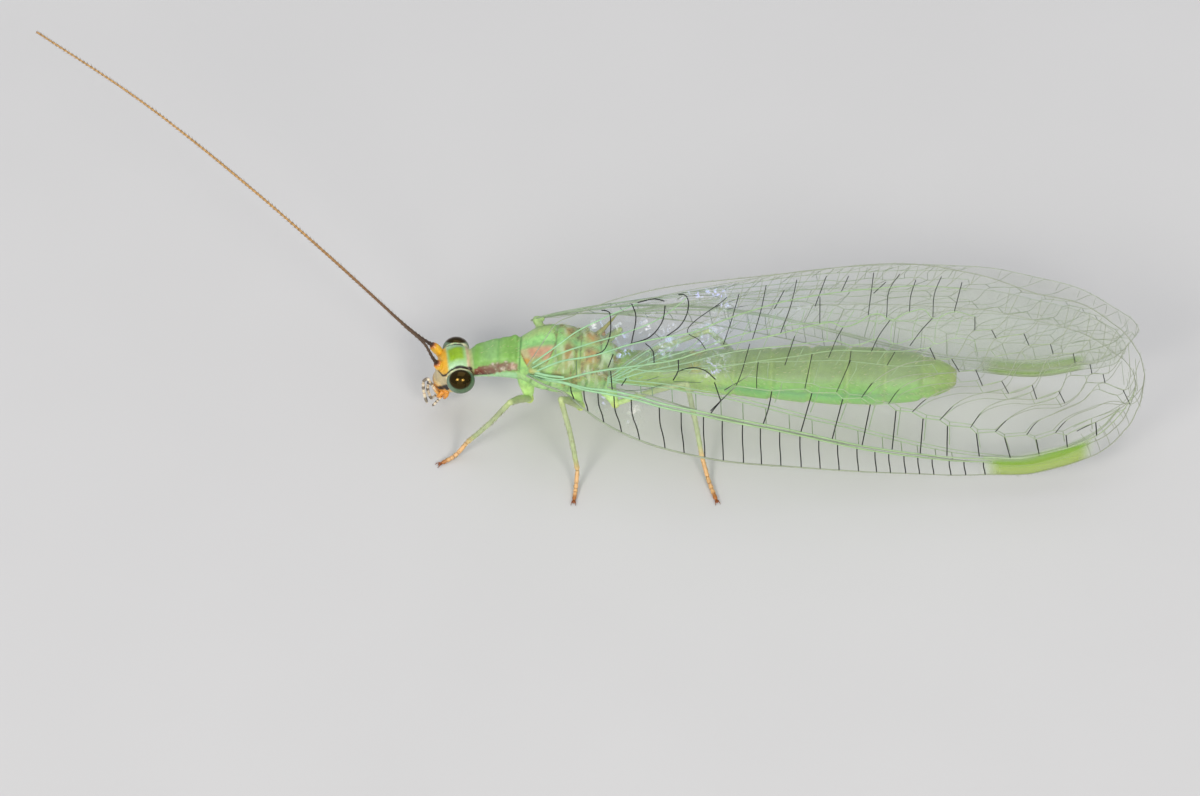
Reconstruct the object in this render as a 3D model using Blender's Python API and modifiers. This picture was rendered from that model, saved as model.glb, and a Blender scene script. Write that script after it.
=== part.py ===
"""Green lacewing at rest on its six feet, life size, its wings folded like a roof over the abdomen.

The insect is drawn in millimetres, looking along -X with its left side at -Y and the floor at z = 0.
One empty turns millimetres to metres and centres the whole insect over the origin.
"""

import math

import bmesh
import bpy
import numpy as np
from mathutils import Euler, Matrix, Vector

MM = 0.001

# Thin cuts part the solids, and every thin organ is drawn thick enough to be a solid
CUT = 0.03
WING_THICKNESS = 0.45
LEG_RADIUS = 0.22
FEELER_RADIUS = 0.25
PALP_RADIUS = 0.13

# The trunk: knots of place along X against the size there
TRUNK_AXIS = [(-1.36, 1.53), (-0.8, 1.71), (-0.25, 1.8), (0.5, 1.8), (1.3, 1.75), (1.9, 1.64)]
TRUNK_AXIS += [(2.6, 1.58), (4.0, 1.6), (7.1, 1.7), (8.9, 1.77), (9.3, 1.81)]
TRUNK_WIDTH = [(-1.36, 0.33), (-0.8, 0.42), (-0.25, 0.5), (0.1, 0.7), (0.5, 0.78), (1.0, 0.74)]
TRUNK_WIDTH += [(1.5, 0.62), (1.9, 0.42), (2.4, 0.4), (3.6, 0.47), (4.7, 0.54), (7.1, 0.64)]
TRUNK_WIDTH += [(8.2, 0.55), (8.9, 0.33), (9.3, 0.14)]
TRUNK_RISE = [(-1.36, 0.25), (-0.8, 0.33), (-0.25, 0.38), (0.1, 0.52), (0.5, 0.64), (1.0, 0.56)]
TRUNK_RISE += [(1.5, 0.5), (1.9, 0.36), (2.4, 0.34), (3.6, 0.4), (4.7, 0.46), (7.1, 0.55)]
TRUNK_RISE += [(8.2, 0.47), (8.9, 0.28), (9.3, 0.12)]
TRUNK_DROP = [(-1.36, 0.25), (-0.8, 0.32), (-0.25, 0.46), (0.1, 0.6), (0.5, 0.67), (1.0, 0.66)]
TRUNK_DROP += [(1.5, 0.6), (1.9, 0.42), (2.4, 0.38), (3.6, 0.44), (4.7, 0.5), (7.1, 0.62)]
TRUNK_DROP += [(8.2, 0.55), (8.9, 0.33), (9.3, 0.13)]
TRUNK_SIDES = 16

# Where the trunk is parted, and how many rings shape each length
PRONOTUM_FRONT = -1.33
PROTHORAX_END = -0.24
MESOTHORAX_END = 1.02
METATHORAX_END = 1.88
ABDOMEN_END = 8.55
TRUNK_TIP = 9.28
ABDOMEN_SEGMENTS = 8
SEGMENT_FOLD = 0.05

# The head, upright in its own frame: knots of height against its front, back and half width
HEAD_CENTRE = Vector((-1.634, 0.0, 1.38))
HEAD_YAW = math.radians(10)
HEAD_FRONT = [(-0.66, 0.36), (-0.45, 0.44), (-0.2, 0.43), (0.1, 0.4), (0.3, 0.3), (0.43, 0.1)]
HEAD_BACK = [(-0.66, 0.1), (-0.45, -0.06), (-0.2, -0.25), (0.1, -0.33), (0.3, -0.28), (0.43, -0.12)]
HEAD_WIDTH = [(-0.66, 0.13), (-0.45, 0.24), (-0.2, 0.38), (0.1, 0.43), (0.3, 0.36), (0.43, 0.16)]
EYE_PLACE = Vector((-0.02, 0.49, 0.03))
EYE_RADII = Vector((0.29, 0.25, 0.29))

# Feelers: the far one leans out to the right, so the pair opens in a narrow V
SOCKET = {"left": (-1.98, -0.19, 1.53), "right": (-2.02, 0.19, 1.56)}
SCAPE_TIP = {"left": (-2.14, -0.21, 1.78), "right": (-2.19, 0.2, 1.8)}
FEELER_PATH = {
    "left": [(-2.14, -0.21, 1.78), (-2.29, -0.02, 2.02), (-2.77, 0.29, 2.26), (-3.47, 0.71, 2.69),
             (-4.51, 1.33, 3.3), (-6.12, 2.26, 4.17), (-8.8, 3.77, 5.37), (-11.1, 4.98, 6.05)],
    "right": [(-2.19, 0.2, 1.8), (-2.36, 0.29, 1.84), (-2.79, 0.6, 1.93), (-3.5, 1.1, 2.23),
              (-4.55, 1.86, 2.66), (-6.17, 3.05, 3.23), (-8.88, 4.97, 3.94), (-11.19, 6.5, 4.24)],
}
FEELER_POINTS = 22
FEELER_SPLIT = 10

# Mouthparts, in the head's own frame: forward, left, up from its centre
MAXILLARY_PALP = [(0.36, 0.27, -0.56), (0.5, 0.3, -0.38), (0.68, 0.3, -0.3), (0.72, 0.3, -0.55),
                  (0.66, 0.29, -0.9)]
LABIAL_PALP = [(0.27, 0.14, -0.82), (0.32, 0.17, -0.98), (0.48, 0.19, -1.1)]

# Each leg from its hip down: hip, trochanter, knee, ankle, toe
LEGS = {
    "fore_left": [(-0.14, -0.24, 1.5), (-0.04, -0.48, 0.95), (-0.39, -1.62, 2.15), (-1.34, -1.34, 0.4),
                  (-1.88, -1.67, 0.14)],
    "mid_left": [(0.8, -0.3, 1.4), (1.08, -0.5, 0.8), (0.72, -1.7, 2.44), (1.1, -1.97, 0.4),
                 (1.06, -2.54, 0.14)],
    "hind_left": [(1.6, -0.3, 1.35), (1.84, -0.62, 0.92), (3.39, -0.64, 2.12), (3.78, -1.45, 0.4),
                  (4.14, -2.34, 0.14)],
    "fore_right": [(-0.14, 0.24, 1.5), (-0.1, 0.45, 0.92), (1.15, 1.1, 1.5), (-0.35, 1.6, 0.4),
                   (-0.88, 1.7, 0.14)],
    "mid_right": [(0.8, 0.3, 1.4), (0.98, 0.54, 0.8), (1.85, 1.1, 1.55), (1.45, 1.75, 0.4),
                  (1.4, 2.3, 0.14)],
    "hind_right": [(1.6, 0.3, 1.35), (1.84, 0.62, 0.92), (3.8, 0.72, 2.1), (4.65, 1.12, 0.4),
                   (5.25, 1.62, 0.14)],
}
COXA_RADIUS = 0.24
TARSUS_SAG = 0.09
CLAW_LENGTH = 0.2
CLAW_RADIUS = 0.1

# The roof of the wings: ridge height and slope along X before it leans over to the right about the body,
# then each wing's two edges as depth down the slope
RIDGE_HEIGHT = [(-0.1, 2.83), (0.6, 3.13), (1.25, 3.34), (2.5, 3.69), (3.7, 4.04), (5.8, 4.64), (7.6, 4.92),
                (9.0, 5.0), (10.0, 4.97), (10.8, 4.8), (12.0, 4.44), (12.7, 3.95), (13.4, 3.43)]
ROOF_SLOPE = [(-0.1, 44), (1.0, 48), (3.4, 54), (6.0, 63), (8.5, 68.5), (13.4, 69.5)]
ROOF_LEAN = [(-0.1, 0.0), (1.0, 1.5), (3.0, 6.0), (5.0, 7.5), (13.4, 7.5)]
LEAN_AXIS = 1.7
ROOF_CAMBER = 0.3
CAMBER_CHORD = 4.8
FOREWING_EDGE = [(-0.08, 1.08), (0.26, 1.35), (0.84, 1.74), (1.2, 2.11), (1.55, 2.43), (2.44, 3.05),
                 (3.78, 3.7), (5.96, 4.42), (8.12, 4.8), (9.86, 4.82), (11.16, 4.47), (12.02, 3.92),
                 (12.7, 3.05), (13.07, 2.34), (13.32, 1.32), (13.38, 1.04)]
WING_ROOT = [(-0.08, 0.86), (0.2, 0.5), (0.5, 0.12), (0.9, 0.0), (6.0, 0.0), (8.5, 0.0)]
FOREWING_BACK = {
    "left": WING_ROOT + [(9.6, 0.15), (10.8, 0.32), (12.6, 0.36), (13.1, 0.6), (13.38, 1.0)],
    "right": WING_ROOT + [(12.6, 0.0), (12.95, 0.1), (13.2, 0.45), (13.38, 1.0)],
}
HINDWING_EDGE = [(1.7, 1.75), (2.4, 2.2), (3.8, 2.95), (5.1, 3.6), (7.3, 4.3), (8.7, 4.4), (10.0, 4.15),
                 (11.2, 3.55), (12.0, 2.85), (12.6, 1.95), (12.85, 1.5)]
HINDWING_BACK = [(1.7, 1.5), (2.4, 1.1), (3.8, 0.75), (6.0, 0.95), (8.5, 1.2), (11.5, 1.2), (12.4, 1.2),
                 (12.85, 1.45)]
WING_REACH = {"left": 1.0, "right": 0.98}
WING_LAYERS = {"forewing": -0.08, "hindwing": WING_THICKNESS - 0.03}
WINGS_PASS = {"forewing": ("mid",), "hindwing": ("hind",)}
WING_STATIONS = 22
RIDGE_STATIONS = 44
WING_CHORDS = 6

COLOURS = {
    "trunk": (0.16, 0.42, 0.07), "head": (0.42, 0.5, 0.12), "eye": (0.03, 0.05, 0.02),
    "mouth": (0.5, 0.28, 0.08), "feeler": (0.3, 0.18, 0.06), "leg": (0.35, 0.5, 0.22),
    "foot": (0.45, 0.25, 0.08), "wing": (0.55, 0.72, 0.5),
}
ROUGHNESS = {"eye": 0.12, "wing": 0.25}
USUAL_ROUGHNESS = 0.45


def smooth(at, knots):
    """The value at one place on a smooth curve through (place, value) knots."""
    places, values = (np.array(column, float) for column in zip(*knots))
    slopes = np.gradient(values, places)
    i = int(np.clip(np.searchsorted(places, at) - 1, 0, len(places) - 2))
    span = places[i + 1] - places[i]
    t = min(max((at - places[i]) / span, 0.0), 1.0)
    ends = (2 * t**3 - 3 * t**2 + 1) * values[i] + (3 * t**2 - 2 * t**3) * values[i + 1]
    lean = (t**3 - 2 * t**2 + t) * slopes[i] + (t**3 - t**2) * slopes[i + 1]
    return float(ends + span * lean)


def smooth_path(points, count):
    """Evenly spread points on a smooth curve through a few given ones."""
    points = np.array(points, float)
    along = np.concatenate([[0.0], np.cumsum(np.linalg.norm(np.diff(points, axis=0), axis=1))])
    rails = [list(zip(along, column)) for column in points.T]
    return [Vector([smooth(at, rail) for rail in rails]) for at in np.linspace(0.0, along[-1], count)]


def scene_collection(name):
    """A new collection in the scene."""
    made = bpy.data.collections.new(name)
    bpy.context.scene.collection.children.link(made)
    return made


def material(finish):
    """The finish's Principled material, made once."""
    known = bpy.data.materials.get(finish)
    if known:
        return known
    made = bpy.data.materials.new(finish)
    made.use_nodes = True
    shader = made.node_tree.nodes["Principled BSDF"]
    shader.inputs["Base Color"].default_value = (*COLOURS[finish], 1.0)
    shader.inputs["Roughness"].default_value = ROUGHNESS.get(finish, USUAL_ROUGHNESS)
    shader.inputs["Metallic"].default_value = 0.0
    return made


def add_object(name, mesh, finish=None):
    """Places a mesh as a part, or as a hidden cutter when it has no finish."""
    obj = bpy.data.objects.new(name, mesh)
    (bpy.data.collections["lacewing"] if finish else bpy.data.collections["cutters"]).objects.link(obj)
    obj.parent = bpy.data.objects["stance"]
    if finish:
        mesh.materials.append(material(finish))
        mesh.shade_smooth()
        mesh.set_sharp_from_angle(angle=math.radians(50))
    else:
        obj.hide_render = True
        obj.display_type = "WIRE"
    return obj


def cut(obj, *cutters):
    """Cuts the hidden cutters out of a part."""
    for cutter in cutters:
        modifier = obj.modifiers.new(cutter.name, "BOOLEAN")
        modifier.object = cutter
        modifier.operation = "DIFFERENCE"


def finished_mesh(name, shape):
    """A mesh from a bmesh, with its faces turned outwards."""
    bmesh.ops.recalc_face_normals(shape, faces=shape.faces)
    if shape.calc_volume(signed=True) < 0:
        bmesh.ops.reverse_faces(shape, faces=shape.faces)
    mesh = bpy.data.meshes.new(name)
    shape.to_mesh(mesh)
    shape.free()
    return mesh


def loft(name, rings):
    """A closed mesh through rings of equal count, with flat ends."""
    shape = bmesh.new()
    rows = [[shape.verts.new(point) for point in ring] for ring in rings]
    for near, far in zip(rows, rows[1:]):
        for i, vertex in enumerate(near):
            j = (i + 1) % len(near)
            shape.faces.new((vertex, near[j], far[j], far[i]))
    shape.faces.new(rows[0])
    shape.faces.new(rows[-1])
    return finished_mesh(name, shape)


def tube(name, path, radii):
    """A round tube along a path, with its own radius at each point."""
    curve = bpy.data.curves.new(name, "CURVE")
    curve.dimensions = "3D"
    curve.bevel_depth = 1.0
    curve.bevel_resolution = 2
    curve.use_fill_caps = True
    spline = curve.splines.new("POLY")
    spline.points.add(len(path) - 1)
    for point, place, radius in zip(spline.points, path, radii):
        point.co = (*place, 1.0)
        point.radius = radius
    guide = bpy.data.objects.new(name, curve)
    bpy.context.scene.collection.objects.link(guide)
    bpy.context.view_layer.update()
    graph = bpy.context.evaluated_depsgraph_get()
    mesh = bpy.data.meshes.new_from_object(guide.evaluated_get(graph))
    bpy.data.objects.remove(guide)
    bpy.data.curves.remove(curve)
    shape = bmesh.new()
    shape.from_mesh(mesh)
    bpy.data.meshes.remove(mesh)
    bmesh.ops.remove_doubles(shape, verts=shape.verts, dist=1e-4)
    return finished_mesh(name, shape)


def box(name, low, high):
    """A plain box between two corners."""
    shape = bmesh.new()
    bmesh.ops.create_cube(shape, size=1.0)
    size = [h - l for l, h in zip(low, high)]
    centre = [(h + l) / 2 for l, h in zip(low, high)]
    bmesh.ops.scale(shape, vec=size, verts=shape.verts)
    bmesh.ops.translate(shape, vec=centre, verts=shape.verts)
    return finished_mesh(name, shape)


def trunk_ring(x, swell):
    """One cross-section of the trunk, made larger or smaller all round by swell."""
    width = smooth(x, TRUNK_WIDTH) + swell
    rise = smooth(x, TRUNK_RISE) + swell
    drop = smooth(x, TRUNK_DROP) + swell
    axis = smooth(x, TRUNK_AXIS)
    ring = []
    for turn in np.arange(TRUNK_SIDES) * 2 * math.pi / TRUNK_SIDES:
        height = rise if math.sin(turn) > 0 else drop
        ring.append((x, width * math.cos(turn), axis + height * math.sin(turn)))
    return ring


def trunk_length(name, start, end, rings, finish):
    """A length of the trunk between two flat cuts."""
    places = np.linspace(start, end, rings)
    return add_object(name, loft(name, [trunk_ring(x, 0.0) for x in places]), finish)


def abdomen():
    """The long soft part of the abdomen, with a shallow fold between its segments."""
    start = METATHORAX_END + CUT
    rings = []
    for i in range(2 * ABDOMEN_SEGMENTS + 1):
        x = start + (ABDOMEN_END - CUT - start) * i / (2 * ABDOMEN_SEGMENTS)
        is_fold = i % 2 == 0 and 0 < i < 2 * ABDOMEN_SEGMENTS
        rings.append(trunk_ring(x, -SEGMENT_FOLD * smooth(x, TRUNK_WIDTH) if is_fold else 0.0))
    return add_object("abdomen", loft("abdomen", rings), "trunk")


def trunk_cutter():
    """The trunk, a cut's width larger all round, which clears its place in the legs, wings and head."""
    thorax = np.linspace(PRONOTUM_FRONT - CUT, METATHORAX_END, 15)
    places = np.concatenate([thorax, np.linspace(2.6, TRUNK_TIP, 9)])
    return add_object("trunk_clearance", loft("trunk_clearance", [trunk_ring(x, CUT) for x in places]))


def trunk():
    """Prothorax, mesothorax, metathorax, abdomen and its tip."""
    trunk_length("prothorax", PRONOTUM_FRONT, PROTHORAX_END - CUT, 6, "trunk")
    trunk_length("mesothorax", PROTHORAX_END, MESOTHORAX_END - CUT, 8, "trunk")
    trunk_length("metathorax", MESOTHORAX_END, METATHORAX_END, 6, "trunk")
    abdomen()
    trunk_length("abdomen_tip", ABDOMEN_END, TRUNK_TIP, 6, "trunk")


def head_frame():
    """Turns the head's own forward, left and up into the insect's place and yaw."""
    facing = Matrix(((-1, 0, 0), (0, -1, 0), (0, 0, 1))).to_4x4()
    return Matrix.Translation(HEAD_CENTRE) @ Euler((0, 0, HEAD_YAW)).to_matrix().to_4x4() @ facing


def head_capsule():
    """The head's shell, deep from crown to mouth and narrowing to the clypeus."""
    rings = []
    for height in np.linspace(HEAD_WIDTH[0][0], HEAD_WIDTH[-1][0], 10):
        front, back = smooth(height, HEAD_FRONT), smooth(height, HEAD_BACK)
        width = smooth(height, HEAD_WIDTH)
        ring = []
        for turn in np.arange(TRUNK_SIDES) * 2 * math.pi / TRUNK_SIDES:
            forward = (front + back) / 2 + (front - back) / 2 * math.cos(turn)
            ring.append(head_frame() @ Vector((forward, width * math.sin(turn), height)))
        rings.append(ring)
    return add_object("head", loft("head", rings), "head")


def eyeball(name, side, swell, finish=None):
    """One bulging compound eye."""
    shape = bmesh.new()
    bmesh.ops.create_uvsphere(shape, u_segments=14, v_segments=8, radius=1.0)
    radii = EYE_RADII + Vector((swell, swell, swell))
    place = Vector((EYE_PLACE.x, side * EYE_PLACE.y, EYE_PLACE.z))
    turn_out = Matrix.Rotation(math.pi / 2, 4, "X")
    shape.transform(head_frame() @ Matrix.Translation(place) @ Matrix.Diagonal((*radii, 1.0)) @ turn_out)
    return add_object(name, finished_mesh(name, shape), finish)


def palp(name, points, side, radius, finish=None):
    """A jointed mouth feeler on one side of the head, blunt at its tip."""
    path = [head_frame() @ Vector((forward, side * left, up)) for forward, left, up in points]
    path = smooth_path(path, 9)
    radii = [radius] * 8 + [radius * 0.6]
    return add_object(name, tube(name, path, radii), finish)


def mouthparts():
    """Labrum, mandibles and labium as one short tapered block under the face."""
    sizes = [(-0.69, 0.35, 0.1, 0.14), (-0.8, 0.38, 0.08, 0.15), (-0.93, 0.33, 0.14, 0.08)]
    rings = []
    for height, front, back, width in sizes:
        turns = np.arange(12) * 2 * math.pi / 12
        spans = [((front + back) / 2 + (front - back) / 2 * math.cos(t), width * math.sin(t)) for t in turns]
        rings.append([head_frame() @ Vector((forward, left, height)) for forward, left in spans])
    return add_object("mouthparts", loft("mouthparts", rings), "mouth")


def head(trunk_clearance):
    """The head capsule with its eyes, mouthparts and palps."""
    capsule = head_capsule()
    cut(capsule, trunk_clearance)
    mouth = mouthparts()
    for side, sign in (("left", 1), ("right", -1)):
        eyeball("eye_" + side, sign, 0.0, "eye")
        cut(capsule, eyeball("socket_" + side, sign, CUT))
        upper = palp("palp_maxillary_" + side, MAXILLARY_PALP, sign, PALP_RADIUS, "mouth")
        lower = palp("palp_labial_" + side, LABIAL_PALP, sign, 0.8 * PALP_RADIUS, "mouth")
        palp_room = palp("palp_room_" + side, MAXILLARY_PALP, sign, PALP_RADIUS + CUT)
        cut(upper, bpy.data.objects["face_clearance"])
        cut(lower, bpy.data.objects["face_clearance"], palp_room)
        cut(mouth, palp_room)
    return capsule


def face_clearance():
    """The lower face and mouthparts, a cut's width larger, which the palps stop short of."""
    rings = []
    for height in (-0.97, -0.8, -0.66, -0.45, -0.2, 0.0):
        front = smooth(height, HEAD_FRONT) + CUT + 0.02
        back = smooth(height, HEAD_BACK) - CUT
        width = smooth(height, HEAD_WIDTH) + CUT + 0.03
        ring = []
        for turn in np.arange(TRUNK_SIDES) * 2 * math.pi / TRUNK_SIDES:
            forward = (front + back) / 2 + (front - back) / 2 * math.cos(turn)
            ring.append(head_frame() @ Vector((forward, width * math.sin(turn), height)))
        rings.append(ring)
    return add_object("face_clearance", loft("face_clearance", rings))


def feeler(side, capsule):
    """One antenna: its thick scape, then the long whip in two lengths."""
    socket, tip = Vector(SOCKET[side]), Vector(SCAPE_TIP[side])
    along = (tip - socket).normalized()
    path = [socket - along * 0.05, socket.lerp(tip, 0.4), tip - along * CUT]
    add_object("scape_" + side, tube("scape_" + side, path, [0.13, 0.17, 0.14]), "head")
    room = add_object("scape_room_" + side, tube("scape_room_" + side, [socket - along * 0.08, *path[1:]],
                                                 [0.13 + CUT, 0.17 + CUT, 0.14 + CUT]))
    cut(capsule, room)
    whip = smooth_path(FEELER_PATH[side], FEELER_POINTS)
    radii = [min(FEELER_RADIUS, 0.14 + 0.05 * i) for i in range(FEELER_POINTS - 1)] + [0.6 * FEELER_RADIUS]
    gap = (whip[FEELER_SPLIT + 1] - whip[FEELER_SPLIT]).normalized() * CUT
    first, second = whip[: FEELER_SPLIT + 1], whip[FEELER_SPLIT:]
    second[0] = second[0] + gap
    whip_base = add_object("antenna_base_" + side,
                           tube("antenna_base_" + side, first, radii[: FEELER_SPLIT + 1]), "feeler")
    cut(whip_base, room)
    add_object("antenna_tip_" + side, tube("antenna_tip_" + side, second, radii[FEELER_SPLIT:]), "feeler")


def limb(name, start, end, radius, swell, finish=None, overrun=0.0):
    """One straight leg segment with rounded ends."""
    start, end = Vector(start), Vector(end)
    along = (end - start).normalized()
    end = end + along * overrun
    full = radius + swell
    length = (end - start).length
    ends = [(-0.5 * full, 0.55), (-0.1 * full, 0.95), (0.35 * full, 1.0)]
    path = [start + along * shift for shift, _ in ends] + [start + along * length / 2]
    path += [end - along * shift for shift, _ in reversed(ends)]
    shares = [share for _, share in ends]
    return add_object(name, tube(name, path, [full * s for s in shares + [1.0] + shares[::-1]]), finish)


def leg(place, hip, trochanter, knee, ankle, toe, trunk_clearance, floor):
    """One leg: coxa, femur, tibia, tarsus and claws, each cut back from the one above it."""
    coxa = limb("coxa_" + place, hip, trochanter, COXA_RADIUS, 0.0, "leg")
    cut(coxa, trunk_clearance)
    femur = limb("femur_" + place, trochanter, knee, LEG_RADIUS, 0.0, "leg")
    cut(femur, limb("coxa_room_" + place, hip, trochanter, COXA_RADIUS, CUT), trunk_clearance)
    tibia = limb("tibia_" + place, knee, ankle, LEG_RADIUS, 0.0, "leg")
    cut(tibia, limb("femur_room_" + place, trochanter, knee, LEG_RADIUS, CUT))
    ankle, toe = Vector(ankle), Vector(toe)
    sole = ankle.lerp(toe, 0.45) - Vector((0, 0, TARSUS_SAG))
    path = [ankle, sole, toe - (toe - ankle).normalized() * 0.06, toe]
    tarsus = add_object("tarsus_" + place, tube("tarsus_" + place, path, [0.2, 0.22, 0.2, 0.13]), "foot")
    cut(tarsus, limb("tibia_room_" + place, knee, ankle, LEG_RADIUS, CUT), floor)
    level = Vector((toe.x - ankle.x, toe.y - ankle.y, 0)).normalized()
    claw_path = [toe + level * 2 * CUT, toe + level * CLAW_LENGTH]
    add_object("claws_" + place, tube("claws_" + place, claw_path, [CLAW_RADIUS, 0.6 * CLAW_RADIUS]), "foot")


def lean(x, across, height):
    """Leans a place on the roof over to the right, about the body's own axis."""
    turn = math.radians(smooth(x, ROOF_LEAN))
    up = height - LEAN_AXIS
    leant = across * math.cos(turn) + up * math.sin(turn)
    return (x, leant, LEAN_AXIS + up * math.cos(turn) - across * math.sin(turn))


def roof_point(x, depth, side, layer, chord_share):
    """A place on the roof of the wings, at a depth down its slope and under a layer of wing."""
    slope = math.radians(smooth(x, ROOF_SLOPE))
    bulge = ROOF_CAMBER * math.sin(math.pi * chord_share) * min(1.0, smooth(x, FOREWING_EDGE) / CAMBER_CHORD)
    out = bulge - layer
    across = depth * math.cos(slope) + out * math.sin(slope)
    height = smooth(x, RIDGE_HEIGHT) - depth * math.sin(slope) + out * math.cos(slope)
    return lean(x, side * across, height)


def wing(name, edge, back, layer, side, reach, cutters):
    """One folded wing: a cambered sheet between its two edges, thick enough to be a solid."""
    first, last = edge[0][0], edge[-1][0]
    shape = bmesh.new()
    rows = []
    for i in range(WING_STATIONS):
        share = i / (WING_STATIONS - 1)
        x = first + (last - first) * (1 - math.cos(math.pi * share)) / 2
        near, far = smooth(x, edge), smooth(x, back)
        row = []
        for j in range(WING_CHORDS + 1):
            depth = near + (far - near) * j / WING_CHORDS
            place = roof_point(x * reach, depth, side, layer, depth / smooth(x, FOREWING_EDGE))
            row.append(shape.verts.new(place))
        rows.append(row)
    for near, far in zip(rows, rows[1:]):
        for j in range(WING_CHORDS):
            shape.faces.new((near[j], near[j + 1], far[j + 1], far[j]))
    obj = add_object(name, finished_mesh(name, shape), "wing")
    wall = obj.modifiers.new("membrane", "SOLIDIFY")
    wall.thickness = WING_THICKNESS
    wall.offset = 0.0
    cut(obj, *cutters)
    return obj


def beyond_the_ridge(side, sign):
    """All that lies past the roof's leaning middle plane, on the far side of one pair of wings."""
    rings = []
    for x in np.linspace(-0.6, 14.0, RIDGE_STATIONS):
        edge, far = sign * CUT / 2, -sign * 4.0
        corners = [(edge, -1.0), (edge, 6.5), (far, 6.5), (far, -1.0)]
        rings.append([lean(x, across, height) for across, height in corners])
    return add_object("beyond_" + side, loft("beyond_" + side, rings))


def wings(trunk_clearance):
    """Both pairs of wings, cut back from the trunk, from each other and from the legs they pass."""
    for side, sign in (("left", -1), ("right", 1)):
        beyond = beyond_the_ridge(side, sign)
        outlines = {"forewing": (FOREWING_EDGE, FOREWING_BACK[side]),
                    "hindwing": (HINDWING_EDGE, HINDWING_BACK)}
        for pair, (edge, back) in outlines.items():
            rooms = [bpy.data.objects[f"{bone}_room_{place}_{side}"]
                     for place in WINGS_PASS[pair] for bone in ("femur", "tibia")]
            cutters = [trunk_clearance, beyond, *rooms]
            wing(f"{pair}_{side}", edge, back, WING_LAYERS[pair], sign, WING_REACH[side], cutters)


def centre_on_origin():
    """Moves the whole insect so that the middle of its footprint is over the origin."""
    bpy.context.view_layer.update()
    graph = bpy.context.evaluated_depsgraph_get()
    corners = []
    for obj in bpy.data.collections["lacewing"].objects:
        evaluated = obj.evaluated_get(graph)
        corners += [evaluated.matrix_world @ Vector(corner) for corner in evaluated.bound_box]
    corners = np.array(corners)
    middle = (corners.min(axis=0) + corners.max(axis=0)) / 2
    bpy.data.objects["stance"].location = (-middle[0], -middle[1], 0.0)


def main():
    for obj in list(bpy.data.objects):
        bpy.data.objects.remove(obj)
    scene_collection("lacewing")
    scene_collection("cutters")
    stance = bpy.data.objects.new("stance", None)
    stance.scale = (MM, MM, MM)
    bpy.context.scene.collection.objects.link(stance)
    trunk()
    clearance = trunk_cutter()
    face_clearance()
    capsule = head(clearance)
    floor = add_object("floor", box("floor", (-20, -20, -5), (20, 20, 0)))
    for side in ("left", "right"):
        feeler(side, capsule)
    for place, joints in LEGS.items():
        leg(place, *joints, clearance, floor)
    wings(clearance)
    centre_on_origin()


main()
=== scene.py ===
import logging
import math
from dataclasses import dataclass, field
from enum import Enum
from typing import Any, Iterable, Sequence

import bpy
import numpy as np
from mathutils import Matrix, Vector, noise


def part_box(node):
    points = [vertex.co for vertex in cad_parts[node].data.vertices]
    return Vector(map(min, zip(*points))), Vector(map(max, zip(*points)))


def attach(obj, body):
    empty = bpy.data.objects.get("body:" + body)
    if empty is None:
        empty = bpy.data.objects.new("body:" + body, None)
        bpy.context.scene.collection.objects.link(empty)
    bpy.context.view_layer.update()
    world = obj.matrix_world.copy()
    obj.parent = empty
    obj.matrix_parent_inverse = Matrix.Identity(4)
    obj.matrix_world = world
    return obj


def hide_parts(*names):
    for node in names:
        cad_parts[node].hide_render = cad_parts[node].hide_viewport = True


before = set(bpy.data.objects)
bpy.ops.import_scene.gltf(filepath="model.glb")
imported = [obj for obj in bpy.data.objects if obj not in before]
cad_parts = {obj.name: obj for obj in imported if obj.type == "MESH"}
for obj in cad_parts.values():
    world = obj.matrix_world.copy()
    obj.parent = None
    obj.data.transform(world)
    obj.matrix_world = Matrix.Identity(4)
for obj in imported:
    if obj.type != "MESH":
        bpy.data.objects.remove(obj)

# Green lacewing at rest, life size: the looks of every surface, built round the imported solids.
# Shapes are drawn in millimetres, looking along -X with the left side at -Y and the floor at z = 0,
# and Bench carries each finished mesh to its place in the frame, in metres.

Knots = Sequence[tuple[float, float]]
Place = tuple[float, float, float]

MM = 0.001
LOG = logging.getLogger("lacewing")

# The trunk: knots of place along X against the size there
TRUNK_AXIS = [(-1.36, 1.53), (-0.8, 1.71), (-0.25, 1.8), (0.5, 1.8), (1.3, 1.75), (1.9, 1.64)]
TRUNK_AXIS += [(2.6, 1.58), (4.0, 1.6), (7.1, 1.7), (8.9, 1.76), (9.3, 1.78)]
TRUNK_WIDTH = [(-1.36, 0.33), (-0.8, 0.42), (-0.25, 0.5), (0.1, 0.7), (0.5, 0.78), (1.0, 0.74)]
TRUNK_WIDTH += [(1.5, 0.62), (1.9, 0.42), (2.4, 0.4), (3.6, 0.47), (4.7, 0.54), (7.1, 0.64)]
TRUNK_WIDTH += [(8.2, 0.55), (8.6, 0.46), (8.9, 0.36), (9.1, 0.26), (9.25, 0.12)]
TRUNK_RISE = [(-1.36, 0.3), (-0.8, 0.34), (-0.25, 0.38), (0.1, 0.52), (0.5, 0.64), (1.0, 0.56)]
TRUNK_RISE += [(1.5, 0.5), (1.9, 0.36), (2.4, 0.34), (3.6, 0.4), (4.7, 0.46), (7.1, 0.55)]
TRUNK_RISE += [(8.2, 0.47), (8.6, 0.4), (8.9, 0.32), (9.1, 0.23), (9.25, 0.11)]
TRUNK_DROP = [(-1.36, 0.25), (-0.8, 0.32), (-0.25, 0.46), (0.1, 0.6), (0.5, 0.67), (1.0, 0.66)]
TRUNK_DROP += [(1.5, 0.6), (1.9, 0.42), (2.4, 0.38), (3.6, 0.44), (4.7, 0.5), (7.1, 0.62)]
TRUNK_DROP += [(8.2, 0.55), (8.6, 0.46), (8.9, 0.37), (9.1, 0.27), (9.25, 0.13)]
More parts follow.
